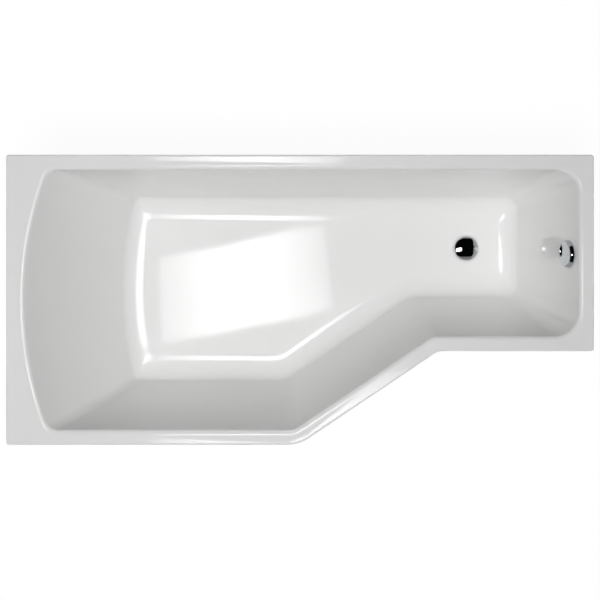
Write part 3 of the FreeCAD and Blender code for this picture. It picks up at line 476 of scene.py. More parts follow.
# %% Tub sizes
LENGTH, WIDTH, FOOT_WIDTH = 1.600, 0.790, 0.535
HEAD_FRONT, FOOT_FRONT = 0.797, 0.424
RIM_HEIGHT, DEPTH, SHELL = 0.600, 0.420, 0.006
RIM, FOOT_RIM, HEAD_RIM = 0.040, 0.037, 0.0455
RIM_EDGE, LIP, BOW, FLOOR_RISE = 0.005, 0.040, 1.000, 0.040
RIM_FALL, RIM_BEND, MOUTH = 0.0020, 1.48, (0.013, 0.009)
FRONT_FALL, FRONT_BEND, FRONT_MOUTH, SLANT_DROP = 0.00155, 1.30, (0.0165, 0.0072), 0.0003
FLOOR_FALL = math.tan(math.radians(0.5))
WASTE_FROM_FOOT, WASTE_SHIFT = 0.281, 0.0055
WASTE = Vector((LENGTH / 2 - WASTE_FROM_FOOT, WIDTH / 2 - FOOT_WIDTH / 2 - WASTE_SHIFT))
RIM_CORNERS, LEAST_CORNER = {"bend_out": 0.110, "bend_in": 0.036, "foot": 0.008, "head": 0.008}, 0.002
CORNERS_AT_MOUTH = {"bend_out": 0.045, "bend_in": 0.045, "foot": 0.068, "head": 0.040}
CORNERS_AT_FLOOR = {"bend_out": 0.090, "bend_in": 0.090, "foot": 0.034, "head": 0.022}
print("tub", LENGTH, "x", WIDTH, "m, waste at", tuple(round(n, 4) for n in WASTE))

# %% [markdown]
# `corner_points` rounds one corner, `bow_hub` finds the middle of the corner between a straight side and
# the bowed edge, and `ring` strings twelve stretches into one closed outline. Every ring has the same
# number of points in the same order, so neighbours join with four-sided faces. Straight stretches get
# points close to their ends, which keeps the shading of the round corners from leaking into the flats.

# %% Outlines
ALONG = Vector((1.0, 0.0))
ACROSS = Vector((0.0, 1.0))
DIAGONAL_START = Vector((HEAD_FRONT - LENGTH / 2, -WIDTH / 2))
DIAGONAL_END = Vector((LENGTH / 2 - FOOT_FRONT, WIDTH / 2 - FOOT_WIDTH))
DIAGONAL = (DIAGONAL_END - DIAGONAL_START).normalized()
DIAGONAL_IN = Vector((-DIAGONAL.y, DIAGONAL.x))
STRAIGHT = (0.0, 0.015, 0.05, 0.15, 0.35, 0.5, 0.65, 0.85, 0.95, 0.985)
COUNTS = {"bend": 24, "foot": 20, "head": 16, "bow": 64}


def arc_points(hub, start, angle, count):
    """Points from a start round a hub, the last one left out."""
    arm = start - hub
    points = []
    for i in range(count):
        turn = angle * i / count
        points.append(hub + Vector((arm.x * math.cos(turn) - arm.y * math.sin(turn),
                                    arm.x * math.sin(turn) + arm.y * math.cos(turn))))
    return points


def signed_angle(before, after):
    """The turn from one direction to another, left turns positive."""
    return math.atan2(before.x * after.y - before.y * after.x, before.dot(after))


def corner_points(corner, before, after, radius, count):
    """The rounded corner between two straight sides, and the point where it ends."""
    angle = signed_angle(before, after)
    reach = radius * math.tan(abs(angle) / 2)
    start = corner - before * reach
    hub = start + Vector((-before.y, before.x)) * math.copysign(radius, angle)
    return arc_points(hub, start, angle, count), corner + after * reach


def bow_hub(centre, bow, line_y, radius):
    """The middle of the corner arc between a side along X and the bowed edge, and its two ends."""
    y = line_y + math.copysign(radius, centre.y - line_y)
    x = centre.x - math.sqrt((bow - radius) ** 2 - (y - centre.y) ** 2)
    hub = Vector((x, y))
    return hub, Vector((x, line_y)), centre + (hub - centre).normalized() * bow


def on_diagonal(inset, y):
    """The point of the slanting front edge, moved in by the inset, at a given Y."""
    start = DIAGONAL_START + DIAGONAL_IN * inset
    return start + DIAGONAL * ((y - start.y) / DIAGONAL.y)


def straight_points(start, end):
    """Points along a straight side, the last one left out."""
    return [start.lerp(end, share) for share in STRAIGHT]


def ring(side, foot, head, bow, corners):
    """One closed outline: the rim's outer line, moved in. Without a bow the head edge is straight."""
    back, front, narrow = WIDTH / 2 - side, side - WIDTH / 2, WIDTH / 2 - FOOT_WIDTH + side
    right, left = LENGTH / 2 - foot, head - LENGTH / 2
    bend = COUNTS["bend"]
    stretches = [
        corner_points(on_diagonal(side, front), ALONG, DIAGONAL, corners["bend_out"], bend),
        corner_points(on_diagonal(side, narrow), DIAGONAL, ALONG, corners["bend_in"], bend),
        corner_points(Vector((right, narrow)), ALONG, ACROSS, corners["foot"], COUNTS["foot"]),
        corner_points(Vector((right, back)), ACROSS, -ALONG, corners["foot"], COUNTS["foot"]),
    ]
    points = []
    for i, (arc, end) in enumerate(stretches):
        points += arc
        if i < 3:
            points += straight_points(end, stretches[i + 1][0][0])
    after_foot = stretches[3][1]
    if bow:
        centre = Vector((left + bow, (back + front) / 2))
        hub, on_line, on_bow = bow_hub(centre, bow, back, corners["head"])
        low_hub, low_line, low_bow = bow_hub(centre, bow, front, corners["head"])
        points += straight_points(after_foot, on_line)
        for middle, first, last, count in ((hub, on_line, on_bow, "head"), (centre, on_bow, low_bow, "bow"),
                                           (low_hub, low_bow, low_line, "head")):
            points += arc_points(middle, first, signed_angle(first - middle, last - middle), COUNTS[count])
    else:
        head_corner = corners["head"], COUNTS["head"]
        arc, end = corner_points(Vector((left, back)), -ALONG, -ACROSS, *head_corner)
        low_arc, low_line = corner_points(Vector((left, front)), -ACROSS, ALONG, *head_corner)
        points += straight_points(after_foot, arc[0]) + arc
        points += [end.lerp(low_arc[0], i / COUNTS["bow"]) for i in range(COUNTS["bow"])] + low_arc
    points += straight_points(low_line, stretches[0][0][0])
    return np.array([tuple(p) for p in points])


def rim_ring(inset):
    """The rim's outer line, moved in all round."""
    corners = {name: max(radius - inset, LEAST_CORNER) for name, radius in RIM_CORNERS.items()}
    corners["bend_in"] = RIM_CORNERS["bend_in"] + inset
    return ring(inset, inset, inset, None, corners)


def tub_ring(insets, depth, skin=0.0):
    """The tub's outline at a depth, with its sides, its foot and its head moved in from the mouth."""
    down = min(depth / DEPTH, 1.0)
    corners = {}
    for name, at_mouth in CORNERS_AT_MOUTH.items():
        grow = -skin if name == "bend_in" else skin
        corners[name] = at_mouth + (CORNERS_AT_FLOOR[name] - at_mouth) * down + grow
    side, foot, head = insets
    return ring(RIM + side, FOOT_RIM + foot, HEAD_RIM + head, BOW, corners)


around = len(rim_ring(0.0))
print("points in one ring:", around)

# %% [markdown]
# The walls aren't plain slopes. The long sides are steep below the rim and lean more with the depth, the
# foot wall is flat where the overflow sits, and the head side is a straight slope to lie against. Each kind
# of wall is a `Wall`: its slope at the top, its lean at the bottom, and the depth where it starts to curve.
# The rounding into the floor is a quarter of an ellipse, wider than it is high: tight at the wall, and wide
# where it meets the floor, which is why the light lies there in a broad line.

# %% Walls
class Wall:
    """The section of one side: how far in it is, and how steep, at any depth. Leans are in degrees."""

    def __init__(self, width, top, low, start, reach, mouth=MOUTH, rim=(RIM_FALL, RIM_BEND)):
        self.width, self.top, self.start, self.reach = width, math.tan(math.radians(top)), start, reach
        low = math.tan(math.radians(low))
        self.first = math.atan(low * FLOOR_RISE / reach)
        self.end = DEPTH - FLOOR_RISE * (1 - math.sin(self.first))
        self.bend = (low - self.top) / (2 * (self.end - start))
        self.centre = self.inset(self.end) + reach * math.cos(self.first)
        self.mouth_wide, self.mouth_high = mouth
        self.shape_mouth(*rim)

    def inset(self, depth):
        """How far in the wall is from the mouth's line."""
        return self.top * depth + self.bend * max(depth - self.start, 0.0) ** 2

    def lean(self, depth):
        """The wall's angle from upright."""
        return math.atan(self.top + 2 * self.bend * max(depth - self.start, 0.0))

    def shape_mouth(self, fall, bend):
        """The middle and the ends of the mouth's ellipse, from a guessed slope that is made exact."""
        slope, wide, high = 0.07, self.mouth_wide, self.mouth_high
        self.mouth_last = math.atan(wide / high / self.top)
        for _ in range(8):
            self.mouth_first = math.atan(wide / high * math.tan(slope))
            self.mouth_depth = fall + high * math.cos(self.mouth_first)
            self.mouth_inset = self.mouth_depth * self.top - math.hypot(wide, high * self.top)
            flat = self.width + self.mouth_inset + wide * math.sin(self.mouth_first) - RIM_EDGE
            slope = math.atan((2 - bend) * fall / flat)
        self.rim_slope = math.atan(bend * fall / flat)

    def at_mouth(self, share, skin):
        """A spot of the rounding at the mouth, as (inset, depth), or behind it by the skin's thickness."""
        angle = self.mouth_first + (self.mouth_last - self.mouth_first) * share
        wide, high = self.mouth_wide - skin, self.mouth_high - skin
        return self.mouth_inset + wide * math.sin(angle), self.mouth_depth - high * math.cos(angle)

    def on_wall(self, share, skin):
        """A spot of the wall between its two roundings."""
        first = self.mouth_depth - (self.mouth_high - skin) * math.cos(self.mouth_last)
        last = self.end + skin * math.sin(self.lean(self.end))
        depth = first + (last - first) * share
        return self.inset(depth) - skin / math.cos(self.lean(depth)), depth

    def at_floor(self, share, skin, past):
        """A spot of the rounding into the floor, or past its end."""
        angle = self.first + (math.pi / 2 - self.first) * share
        across, down = self.reach * math.cos(angle), FLOOR_RISE * math.sin(angle)
        out = Vector((FLOOR_RISE * math.cos(angle), self.reach * math.sin(angle))).normalized() * skin
        return self.centre - across - out.x + past, DEPTH - FLOOR_RISE + down + out.y


long_side = {"width": RIM, "top": 6.3, "low": 15.3, "start": 0.0, "reach": 0.0745}
SIDE = Wall(**long_side)
FRONT = Wall(**long_side, mouth=FRONT_MOUTH, rim=(FRONT_FALL, FRONT_BEND))
FOOT = Wall(FOOT_RIM, top=12.6, low=15.0, start=0.110, reach=0.0745)
HEAD = Wall(HEAD_RIM, top=28.5, low=28.5, start=0.0, reach=0.0665)
WALLS = (SIDE, FOOT, HEAD)
print("floor starts inside the mouth by", [round(wall.centre, 4) for wall in WALLS])

# %% [markdown]
# The three kinds of wall reach the same share of their rounding at different depths, so a ring isn't level:
# its height passes from one wall's depth to the next along the corners. `head_share` and `foot_share` say
# how far each point of a ring belongs to those walls. The floor falls half a degree towards the waste, and
# the rounding takes up that fall step by step. Along the front and the slant the rim bends less and the
# mouth's rounding is wider and lower, so the soft box shows there as two thin stripes. `front_share` says
# how far a point belongs to that stretch, and `slant_share` to the slant alone, where the mouth lies a
# little lower.

# %% Rings in space
run, bend, turn, end = len(STRAIGHT), COUNTS["bend"], COUNTS["head"], COUNTS["foot"]
rising, closing = np.arange(turn) / turn, np.arange(end) / end
head_share = np.concatenate([np.zeros(2 * bend + 2 * end + 4 * run), rising, np.ones(COUNTS["bow"]),
                             1.0 - rising, np.zeros(run)])
foot_share = np.concatenate([np.zeros(2 * bend + 2 * run), closing, np.ones(run), 1.0 - closing,
                             np.zeros(2 * run + 2 * turn + COUNTS["bow"])])
leaving = 1.0 - np.arange(bend) / bend
rest = np.zeros(3 * run + 2 * end + turn + COUNTS["bow"])
front_share = np.concatenate([np.ones(bend + run), leaving, rest, rising, np.ones(run)])
slant_share = np.concatenate([1.0 - leaving, np.ones(run), leaving, rest, np.zeros(turn + run)])


def placed(outline, depths, fallen=0.0):
    """A ring with its heights: the depths at side, foot and head, and a share of the floor's fall."""
    side, foot, head = depths
    depth = side + (foot - side) * foot_share + (head - side) * head_share
    z = RIM_HEIGHT - depth + (WASTE.x - outline[:, 0]) * FLOOR_FALL * fallen
    return np.column_stack([outline, z])


def spread(spots, skin, fallen=0.0):
    """A ring through one (inset, depth) spot for each of the three walls."""
    insets, depths = zip(*spots)
    return placed(tub_ring(insets, depths[0], skin), depths, fallen)


def mouth_ring(share, skin=0.0):
    """A ring of the mouth's rounding: share 0 on the rim, 1 on the wall."""
    ends = [wall.at_mouth(share, skin) for wall in (FOOT, HEAD)]
    plain, front = [spread([side.at_mouth(share, skin), *ends], skin) for side in (SIDE, FRONT)]
    made = plain + (front - plain) * front_share[:, None]
    made[:, 2] -= SLANT_DROP * slant_share
    return made


def wall_ring(share, skin=0.0):
    """A ring of the walls: share 0 below the mouth, 1 above the floor's rounding."""
    return spread([wall.on_wall(share, skin) for wall in WALLS], skin)


def floor_ring(share, skin=0.0, past=0.0):
    """A ring of the floor's rounding: share 0 on the wall, 1 on the floor, then past its edge."""
    low = math.sin(SIDE.first)
    angle = SIDE.first + (math.pi / 2 - SIDE.first) * share
    fallen = (math.sin(angle) - low) / (1 - low)
    return spread([wall.at_floor(share, skin, past) for wall in WALLS], skin, fallen)


def level(inset, depth):
    """A level ring of the rim's outer line."""
    return placed(rim_ring(inset), (depth, depth, depth))


slopes = [round(math.degrees(wall.rim_slope), 1) for wall in (SIDE, FRONT)]
print("rim slope at its outer edge:", slopes, "degrees")

# %% [markdown]
# Now the whole section, from the flat floor up the wall, over the mouth and the rim, round the outer edge,
# down the lip, and back underneath to the floor's underside. The rim falls towards the tub, so that water
# runs in: most at its outer edge, by seven degrees on the sides and five along the front, and least near
# the mouth. Two rings on the flat floor keep the shading of the rounding off it. Faces past the lip's lower
# edge are glass fibre.

# %% Section of the tub
WALL_STEPS = (0.985, 0.95, 0.88, 0.8, 0.7, 0.6, 0.5, 0.4, 0.3, 0.2, 0.12, 0.05, 0.015)
FLOOR_STEPS, MOUTH_STEPS = 30, 12
rings = [floor_ring(1.0, past=far) for far in (0.020, 0.003)]
rings += [floor_ring(1 - i / FLOOR_STEPS) for i in range(FLOOR_STEPS + 1)]
rings += [wall_ring(share) for share in WALL_STEPS]
rings += [mouth_ring(1 - i / MOUTH_STEPS) for i in range(MOUTH_STEPS + 1)]
bends = RIM_BEND + (FRONT_BEND - RIM_BEND) * front_share


def edge_ring(share):
    """A ring of the rim's outer rounding: share 0 where it meets the rim's slope, 1 on the lip."""
    angles = [(math.pi / 2 + slope) * (1 - share) for slope in (SIDE.rim_slope, FRONT.rim_slope)]
    first, second = [level(RIM_EDGE * (1 - math.cos(a)), RIM_EDGE * (1 - math.sin(a))) for a in angles]
    return first + (second - first) * front_share[:, None]


inner, outer = mouth_ring(0.0), edge_ring(0.0)
for share in np.linspace(1.0, 0.0, 15)[1:]:
    crown = outer + (inner - outer) * share
    crown[:, 2] = outer[:, 2] + (inner[:, 2] - outer[:, 2]) * share * (bends - (bends - 1) * share)
    rings.append(crown)
rings += [edge_ring(share) for share in np.linspace(0.0, 1.0, 12)[1:]]
rings += [level(0.0, depth) for depth in (0.007, 0.037, LIP - 0.001)]
rings += [level(0.001, LIP), level(0.005, LIP), level(SHELL, LIP - 0.001)]
back_start = len(rings)
under = level(SHELL, SHELL)
below_mouth = mouth_ring(0.0, SHELL)
rings += [level(SHELL, 0.009), under]
rings += [under + (below_mouth - under) * share for share in (0.05, 0.3, 0.6, 0.9, 1.0)]
rings += [mouth_ring(i / 4, SHELL) for i in range(1, 5)]
rings += [wall_ring(share, SHELL) for share in WALL_STEPS[::-1]]
rings += [floor_ring(i / 16, SHELL) for i in range(17)]
rings.append(floor_ring(1.0, SHELL, past=0.004))
print("rings:", len(rings), "of which behind the acrylic:", len(rings) - back_start)

# %% [markdown]
# The floor has a round recess for the waste with a hole in it, and a boss below. Rings of points round the
# hole run from the top face to the underside, and a triangulation between the last ring of the tub and the
# first of the recess fills each floor. Both floors are flat, so their triangles leave no trace in the
# gloss.

# %% Floor with the waste recess
ROUND = 72


def circle(radius, drop, flat):
    """A ring round the waste at a drop below the floor: along with the floor's slope, or flat."""
    angles = np.arange(ROUND) * 2 * math.pi / ROUND
    x = WASTE.x + radius * np.cos(angles)
    y = WASTE.y + radius * np.sin(angles)
    slope = (WASTE.x - x) * (0.0 if flat else FLOOR_FALL)
    return np.column_stack([x, y, RIM_HEIGHT - DEPTH - drop + slope])


def joined(first, count, size, back):
    """Faces between rings that follow each other, marked 1 for glass fibre from the ring `back` on."""
    for i in range(count - 1):
        low, high = first + i * size, first + (i + 1) * size
        for j in range(size):
            k = (j + 1) % size
            faces.append((low + j, low + k, high + k, high + j))
            marks.append(int(i >= back))


TOP_EDGE = ((0.0480, 0.0), (0.0432, 0.0), (0.0418, 0.0003))
RECESS = ((0.0407, 0.0011), (0.0402, 0.0022), (0.0400, 0.0030), (0.0395, 0.0037), (0.0385, 0.0040),
          (0.0264, 0.0040), (0.0260, 0.0044), (0.0260, 0.0096))
BOSS = ((0.0264, 0.0100), (0.0448, 0.0100), (0.0460, 0.0088))
UNDER_EDGE = ((0.0460, 0.0062), (0.0500, 0.0060))
hole = [circle(radius, drop, False) for radius, drop in TOP_EDGE]
hole += [circle(radius, drop, True) for radius, drop in RECESS + BOSS]
hole += [circle(radius, drop, False) for radius, drop in UNDER_EDGE]
points = np.concatenate(rings + hole)
faces, marks = [], []
first_hole = len(rings) * around
joined(0, len(rings), around, back_start - 1)
joined(first_hole, len(hole), ROUND, len(TOP_EDGE + RECESS))


def floor_faces(outer_start, inner_start):
    """Triangles between a ring of the tub and a ring of the recess, none of them inside the recess."""
    known = list(range(outer_start, outer_start + around)) + list(range(inner_start, inner_start + ROUND))
    flat = [Vector((points[i][0], points[i][1])) for i in known]
    edges = [(i, (i + 1) % around) for i in range(around)]
    edges += [(around + i, around + (i + 1) % ROUND) for i in range(ROUND)]
    _, _, triangles, origins, *_ = delaunay_2d_cdt(flat, edges, [], 1, 1e-7)
    corners = [[origins[i][0] for i in triangle] for triangle in triangles]
    return [tuple(known[i] for i in found) for found in corners if min(found) < around]


top_floor = floor_faces(0, first_hole)
under_floor = floor_faces((len(rings) - 1) * around, first_hole + (len(hole) - 1) * ROUND)
faces += top_floor + under_floor
marks += [0] * len(top_floor) + [1] * len(under_floor)
print("floor triangles:", len(top_floor), len(under_floor))

# %% [markdown]
# The overflow hole goes square through the foot wall. A Boolean cuts it, with the axis that the CAD gives
# the overflow: `overflow` is the frame on the wall's face, with Z into the tub and X up the wall.

# %% Tub mesh
OVERFLOW_DEPTH, OVERFLOW_RADIUS = 0.070, 0.027
origin = Vector((LENGTH / 2 - FOOT_RIM - FOOT.inset(OVERFLOW_DEPTH), WASTE.y, RIM_HEIGHT - OVERFLOW_DEPTH))
overflow = Matrix.Translation(origin) @ Matrix.Rotation(FOOT.lean(OVERFLOW_DEPTH) - math.pi / 2, 4, "Y")

tub_mesh = bpy.data.meshes.new("tub")
tub_mesh.from_pydata([tuple(float(n) for n in p) for p in points], [], faces)
for polygon, mark in zip(tub_mesh.polygons, marks):
    polygon.material_index = mark
tub_mesh.materials.append(acrylic)
tub_mesh.materials.append(glass_fibre)
form = bmesh.new()
form.from_mesh(tub_mesh)
bmesh.ops.recalc_face_normals(form, faces=form.faces)
loose = [edge for edge in form.edges if len(edge.link_faces) != 2]
form.to_mesh(tub_mesh)
form.free()

drill_mesh = bpy.data.meshes.new("drill")
drill_mesh.materials.append(acrylic)
form = bmesh.new()
bmesh.ops.create_cone(form, cap_ends=True, segments=64, radius1=OVERFLOW_RADIUS, radius2=OVERFLOW_RADIUS,
                      depth=0.060, matrix=overflow)
form.to_mesh(drill_mesh)
form.free()
drill = bpy.data.objects.new("drill", drill_mesh)
scene.collection.objects.link(drill)
hole_cut = ("BOOLEAN", {"object": drill, "operation": "DIFFERENCE", "solver": "EXACT"})
tub_mesh = applied("tub", tub_mesh, hole_cut)
bpy.data.objects.remove(drill)
piece("tub", smoothed(tub_mesh, 32.0), [acrylic, glass_fibre], "tub", ["acrylic_shell"])
print("open edges:", len(loose))

# %% [markdown]
# ## Turned pieces
# The plug, the knob and the foot pads are round, so each is a profile turned about an axis, as on a lathe.
# A profile is a loop of (radius, height) corners, and `eased` rounds the ones that would be sharp: a real
# edge is never quite sharp, and its thin line of light is what makes a small part look made. Where a
# profile touches the axis, its points fall together in a pole.

# %% Lathe
MM = 0.001
SHARE_OF_SIDE, ON_AXIS, TOO_SHORT, NEARLY_STRAIGHT = 0.45, 1e-6, 1e-5, 1.5


def in_metres(profile):
    """A profile drawn in millimetres, in metres."""
    return [(radius * MM, height * MM) for radius, height in profile]


def eased(profile, radius, steps=3):
    """The profile in metres, its corners off the axis rounded to a radius in millimetres if there is room."""
    spots = [Vector(corner) * MM for corner in profile]
    result = []
    for i, corner in enumerate(spots):
        before, after = spots[i - 1] - corner, spots[(i + 1) % len(spots)] - corner
        room = min(before.length, after.length) * SHARE_OF_SIDE
        if corner.x < ON_AXIS or room < TOO_SHORT:
            result.append(corner)
            continue
        half = before.angle(after) / 2
        reach = min(radius * MM / math.tan(half), room) if half < NEARLY_STRAIGHT else 0.0
        start, end = corner + before.normalized() * reach, corner + after.normalized() * reach
        for j in range(steps + 1):
            share = j / steps
            result.append(start * (1 - share) ** 2 + corner * (2 * share * (1 - share)) + end * share ** 2)
    return result


def dome(edge, low, top, steps=10):
    """Corners of a shallow dome, from its edge radius and height to the axis."""
    ball = (edge ** 2 + (top - low) ** 2) / (2 * (top - low))
    spots = [edge * (1 - i / steps) for i in range(steps + 1)]
    return [(r, top - ball + math.sqrt(ball ** 2 - r ** 2)) for r in spots]


def lathe(name, profile, place=None, segments=96):
    """A closed shape turned about Z from a loop of (radius, height) corners, then put in its place."""
    count = len(profile)
    points, faces = [], []
    for i in range(segments):
        angle = 2 * math.pi * i / segments
        points += [(spot[0] * math.cos(angle), spot[0] * math.sin(angle), spot[1]) for spot in profile]
        first, second = i * count, (i + 1) % segments * count
        for j in range(count):
            k = (j + 1) % count
            if max(profile[j][0], profile[k][0]) > ON_AXIS:
                faces.append((first + j, second + j, second + k, first + k))
    mesh = mesh_from(name, points, faces)
    if place:
        mesh.transform(place)
    return mesh


print("lathe ready")

# %% [markdown]
# The plug is a shallow dome. Its curve is a ball of 131 mm radius: that is what makes the soft box as small
# in it as the photograph shows. Below it is a boss for the stem.

# %% Plug
waste = Matrix.Translation((WASTE.x, WASTE.y, 0.0))
plug_profile = [(0, 180.3), (4.08, 180.3), (4.08, 172.3), (8, 172.3), (8, 180.3), (35.5, 180.3)]
plug_profile += dome(35.5, 182.3, 187.2, 16)
plug_mesh = lathe("plug", eased(plug_profile, 0.7), waste, 128)
piece("plug", smoothed(plug_mesh), [chrome], "plug", ["plug_cap"])

# %% [markdown]
# The knob is a nearly flat cap with a barrel-shaped side, close to the wall. It is turned in the overflow's
# frame, hollow behind, with a hub for the spindle. The side is round on purpose: from above it mirrors the
# dark room, and makes the black crescent that the photograph shows along the wall.

# %% Knob
def arc_corners(middle, radius, first, last, steps=10):
    """Corners of an arc round a middle, between two angles in degrees."""
    angles = [math.radians(first + (last - first) * i / steps) for i in range(steps + 1)]
    return [(middle[0] + radius * math.cos(a), middle[1] + radius * math.sin(a)) for a in angles]


knob_profile = [(0, 11), (5.08, 11), (5.08, 3.5), (9, 3.5), (9, 11)] + arc_corners((30.5, 6), 4.5, 90, 0)
knob_profile += [(36.2, 1.2), (38.6, 1.2)] + arc_corners((19.2, -1.3), 20, 8, 40)
knob_profile += arc_corners((32.2, 9.7), 3, 40, 84) + dome(32.5, 12.68, 14.4, 12)
knob_mesh = lathe("knob", eased(knob_profile, 0.8), overflow, 128)
piece("knob", smoothed(knob_mesh), [chrome], "knob", ["overflow_knob"])

# %% [markdown]
# The feet are moulded plastic pads with a cone and a socket for the stud. Each stands where the CAD's pad
# stands, so its place is read from the frame.

# %% Foot pads
feet = {}
for number in range(1, 5):
    low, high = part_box(f"foot_pad_{number}")
    feet[number] = Vector(((low[0] + high[0]) / 2, (low[1] + high[1]) / 2, 0.0))
pad_profile = [(0, 0), (24, 0), (24, 5), (10, 19), (10, 24), (5.08, 24), (5.08, 6), (0, 6)]
for number, at in feet.items():
    pad_mesh = lathe("foot_pad", eased(pad_profile, 1.0), Matrix.Translation(at), 72)
    piece(f"pad_{number}", smoothed(pad_mesh), [foot_plastic], f"foot_{number}", [f"foot_pad_{number}"])

# %% [markdown]
# ## Rules for shapes that repeat
# Threads, ribs, flats and grips all follow a rule: the radius of a point depends on its height and on its
# angle. Such a rule is a small tree of Geometry Nodes that takes a plain turned blank and named sizes, and
# moves the blank's points. One tree then serves every stud or nut of its kind. `polar` reads a point's
# radius, turn and height, `set_polar` puts it back, `copies` sets a shape out on points, and `grown` runs a
# rule once and keeps the plain mesh.

# %% Helpers for rules
def rule(name, *inputs):
    """Opens a rule with a base shape and named inputs: its bench, the base and the inputs."""
    tree = bpy.data.node_groups.new(name, "GeometryNodeTree")
    tree.interface.new_socket("Base", in_out="INPUT", socket_type="NodeSocketGeometry")
    for label in inputs:
        kind = "NodeSocketObject" if label in ("Places", "Path") else "NodeSocketFloat"
        tree.interface.new_socket(label, in_out="INPUT", socket_type=kind)
    tree.interface.new_socket("Shape", in_out="OUTPUT", socket_type="NodeSocketGeometry")
    bench = Bench(tree)
    entry = tree.nodes.new("NodeGroupInput")
    return bench, *(Wire(bench, entry.outputs[label]) for label in ("Base", *inputs))


def place_of(bench):
    """A point's X, Y and Z."""
    x = bench.add("ShaderNodeSeparateXYZ", {}, {0: bench.add("GeometryNodeInputPosition")}, out="X")
    return x, x.other("Y"), x.other("Z")


def polar(bench):
    """A point's radius, its angle in turns and its height."""
    x, y, height = place_of(bench)
    square = x * x + y * y
    return square.math("SQRT"), y.math("ARCTAN2", x) / math.tau, height


def set_polar(bench, shape, radius, turn, height):
    """The shape with its points moved to a radius, a turn and a height."""
    angle = turn * math.tau
    spot = bench.add("ShaderNodeCombineXYZ", {}, {"X": radius * angle.math("COSINE"),
                                                  "Y": radius * angle.math("SINE"), "Z": height})
    return bench.add("GeometryNodeSetPosition", {}, {"Geometry": shape, "Position": spot})


def copies(bench, shape, places):
    """The shape once on every point of a helper object."""
    spots = bench.add("GeometryNodeObjectInfo", {}, {"Object": places}, out="Geometry")
    return bench.add("GeometryNodeInstanceOnPoints", {}, {"Points": spots, "Instance": shape})


def close_rule(bench, shape, material):
    """Ends a rule with real geometry and its finish."""
    whole = bench.add("GeometryNodeRealizeInstances", {}, {"Geometry": shape})
    dressed = bench.add("GeometryNodeSetMaterial", {}, {"Geometry": whole, "Material": material})
    bench.add("NodeGroupOutput", {}, {"Shape": dressed})
    print("rule", bench.tree.name, len(bench.tree.nodes), "nodes")


def grown(name, bench, base, **values):
    """A plain mesh from a base mesh and a rule, with its inputs set by name. Helper objects go after use."""
    worker = bpy.data.objects.new(name, base)
    scene.collection.objects.link(worker)
    modifier = worker.modifiers.new("rule", "NODES")
    modifier.node_group = bench.tree
    for item in bench.tree.interface.items_tree:
        if item.in_out == "INPUT" and item.name in values:
            modifier[item.identifier] = values[item.name]
    graph = bpy.context.evaluated_depsgraph_get()
    mesh = bpy.data.meshes.new_from_object(worker.evaluated_get(graph))
    worker.modifiers.remove(modifier)
    helpers = [value for value in values.values() if isinstance(value, bpy.types.Object)]
    for used in (worker, *helpers):
        bpy.data.objects.remove(used)
    mesh.name = name
    return mesh


def marks_at(name, points, edges=()):
    """A helper object of bare points, or of a line through them, for a rule to read."""
    mesh = bpy.data.meshes.new(name)
    mesh.from_pydata([tuple(point) for point in points], list(edges), [])
    made = bpy.data.objects.new(name, mesh)
    scene.collection.objects.link(made)
    return made


print("rule helpers ready")

# %% [markdown]
# The studs are threaded rod of 10 mm with a pitch of 1.5 mm. The groove's depth is a triangle wave on the
# height, and taking the turn away from the height winds it into a helix. Each stud rides with its own foot,
# and stops 50 mm above its rail.

# %% Threaded studs
bench, base, crest, pitch, depth = rule("thread", "Crest", "Pitch", "Depth")
radius, turn, height = polar(bench)
place = height / pitch - turn
wave = 2.0 * place.math("FRACT") - 1.0
groove = crest - depth * wave.math("ABSOLUTE")
close_rule(bench, set_polar(bench, base, radius.math("MINIMUM", groove), turn, height), zinc)

STUD, STUD_TIP, TIP_LENGTH = 0.005, 0.0035, 0.0015
PITCH, THREAD_DEPTH, STEPS = 0.0015, 0.0009, 6
for number, at in feet.items():
    low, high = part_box(f"foot_stud_{number}")
    count = int((high[2] - low[2] - TIP_LENGTH) / PITCH * STEPS)
    side = [(STUD, low[2] + i * PITCH / STEPS) for i in range(count)]
    blank = lathe("stud", [(0.0, low[2])] + side + [(STUD_TIP, high[2]), (0.0, high[2])], None, 24)
    stud = grown("stud", bench, blank, Crest=STUD, Pitch=PITCH, Depth=THREAD_DEPTH)
    stud.transform(Matrix.Translation(at))
    piece(f"stud_{number}", smoothed(stud, 50.0), [zinc], f"foot_{number}", [f"foot_stud_{number}"])

# %% [markdown]
# A nut is cut from hexagon bar, and its corners are turned off at both ends. So the blank is a ring with
# turned-off edges, and the rule cuts it by six flats: the arcs where flat and chamfer meet come by
# themselves. One nut lies on top of the rail and one below it at each stud, and the rule puts a copy on
# each of the eight points.

# %% Lock nuts
bench, base, flats, places = rule("hexagon_nuts", "Flats", "Places")
radius, turn, height = polar(bench)
sixth = turn * 6.0
wedge = (sixth.math("FRACT") - 0.5) * (math.tau / 6)
flat = flats / 2.0 / wedge.math("COSINE")
nut = set_polar(bench, base, radius.math("MINIMUM", flat), turn, height)
close_rule(bench, copies(bench, nut, places), zinc)

rail_tops = {1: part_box("cradle_rail_head")[1][2], 3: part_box("cradle_rail_foot")[1][2]}
rail_tops[2], rail_tops[4] = rail_tops[1], rail_tops[3]
NUT_FLATS, BELOW_RAIL = 0.017, -0.0105
nut_points = [at + Vector((0, 0, rail_tops[number] + drop)) for number, at in feet.items()
              for drop in (0.0, BELOW_RAIL)]
nut_profile = [(5.08, 0.5), (5.6, 0), (8.3, 0), (9.815, 0.9), (9.815, 2.5), (9.815, 4), (9.815, 5.5),
               (9.815, 7.1), (8.3, 8), (5.6, 8), (5.08, 7.5)]
nut_blank = lathe("nut", in_metres(nut_profile), None, 60)
nuts = grown("nuts", bench, nut_blank, Flats=NUT_FLATS, Places=marks_at("nut_places", nut_points))
piece("nuts", smoothed(nuts, 25.0), [zinc], "tub", ["stud_nuts"])

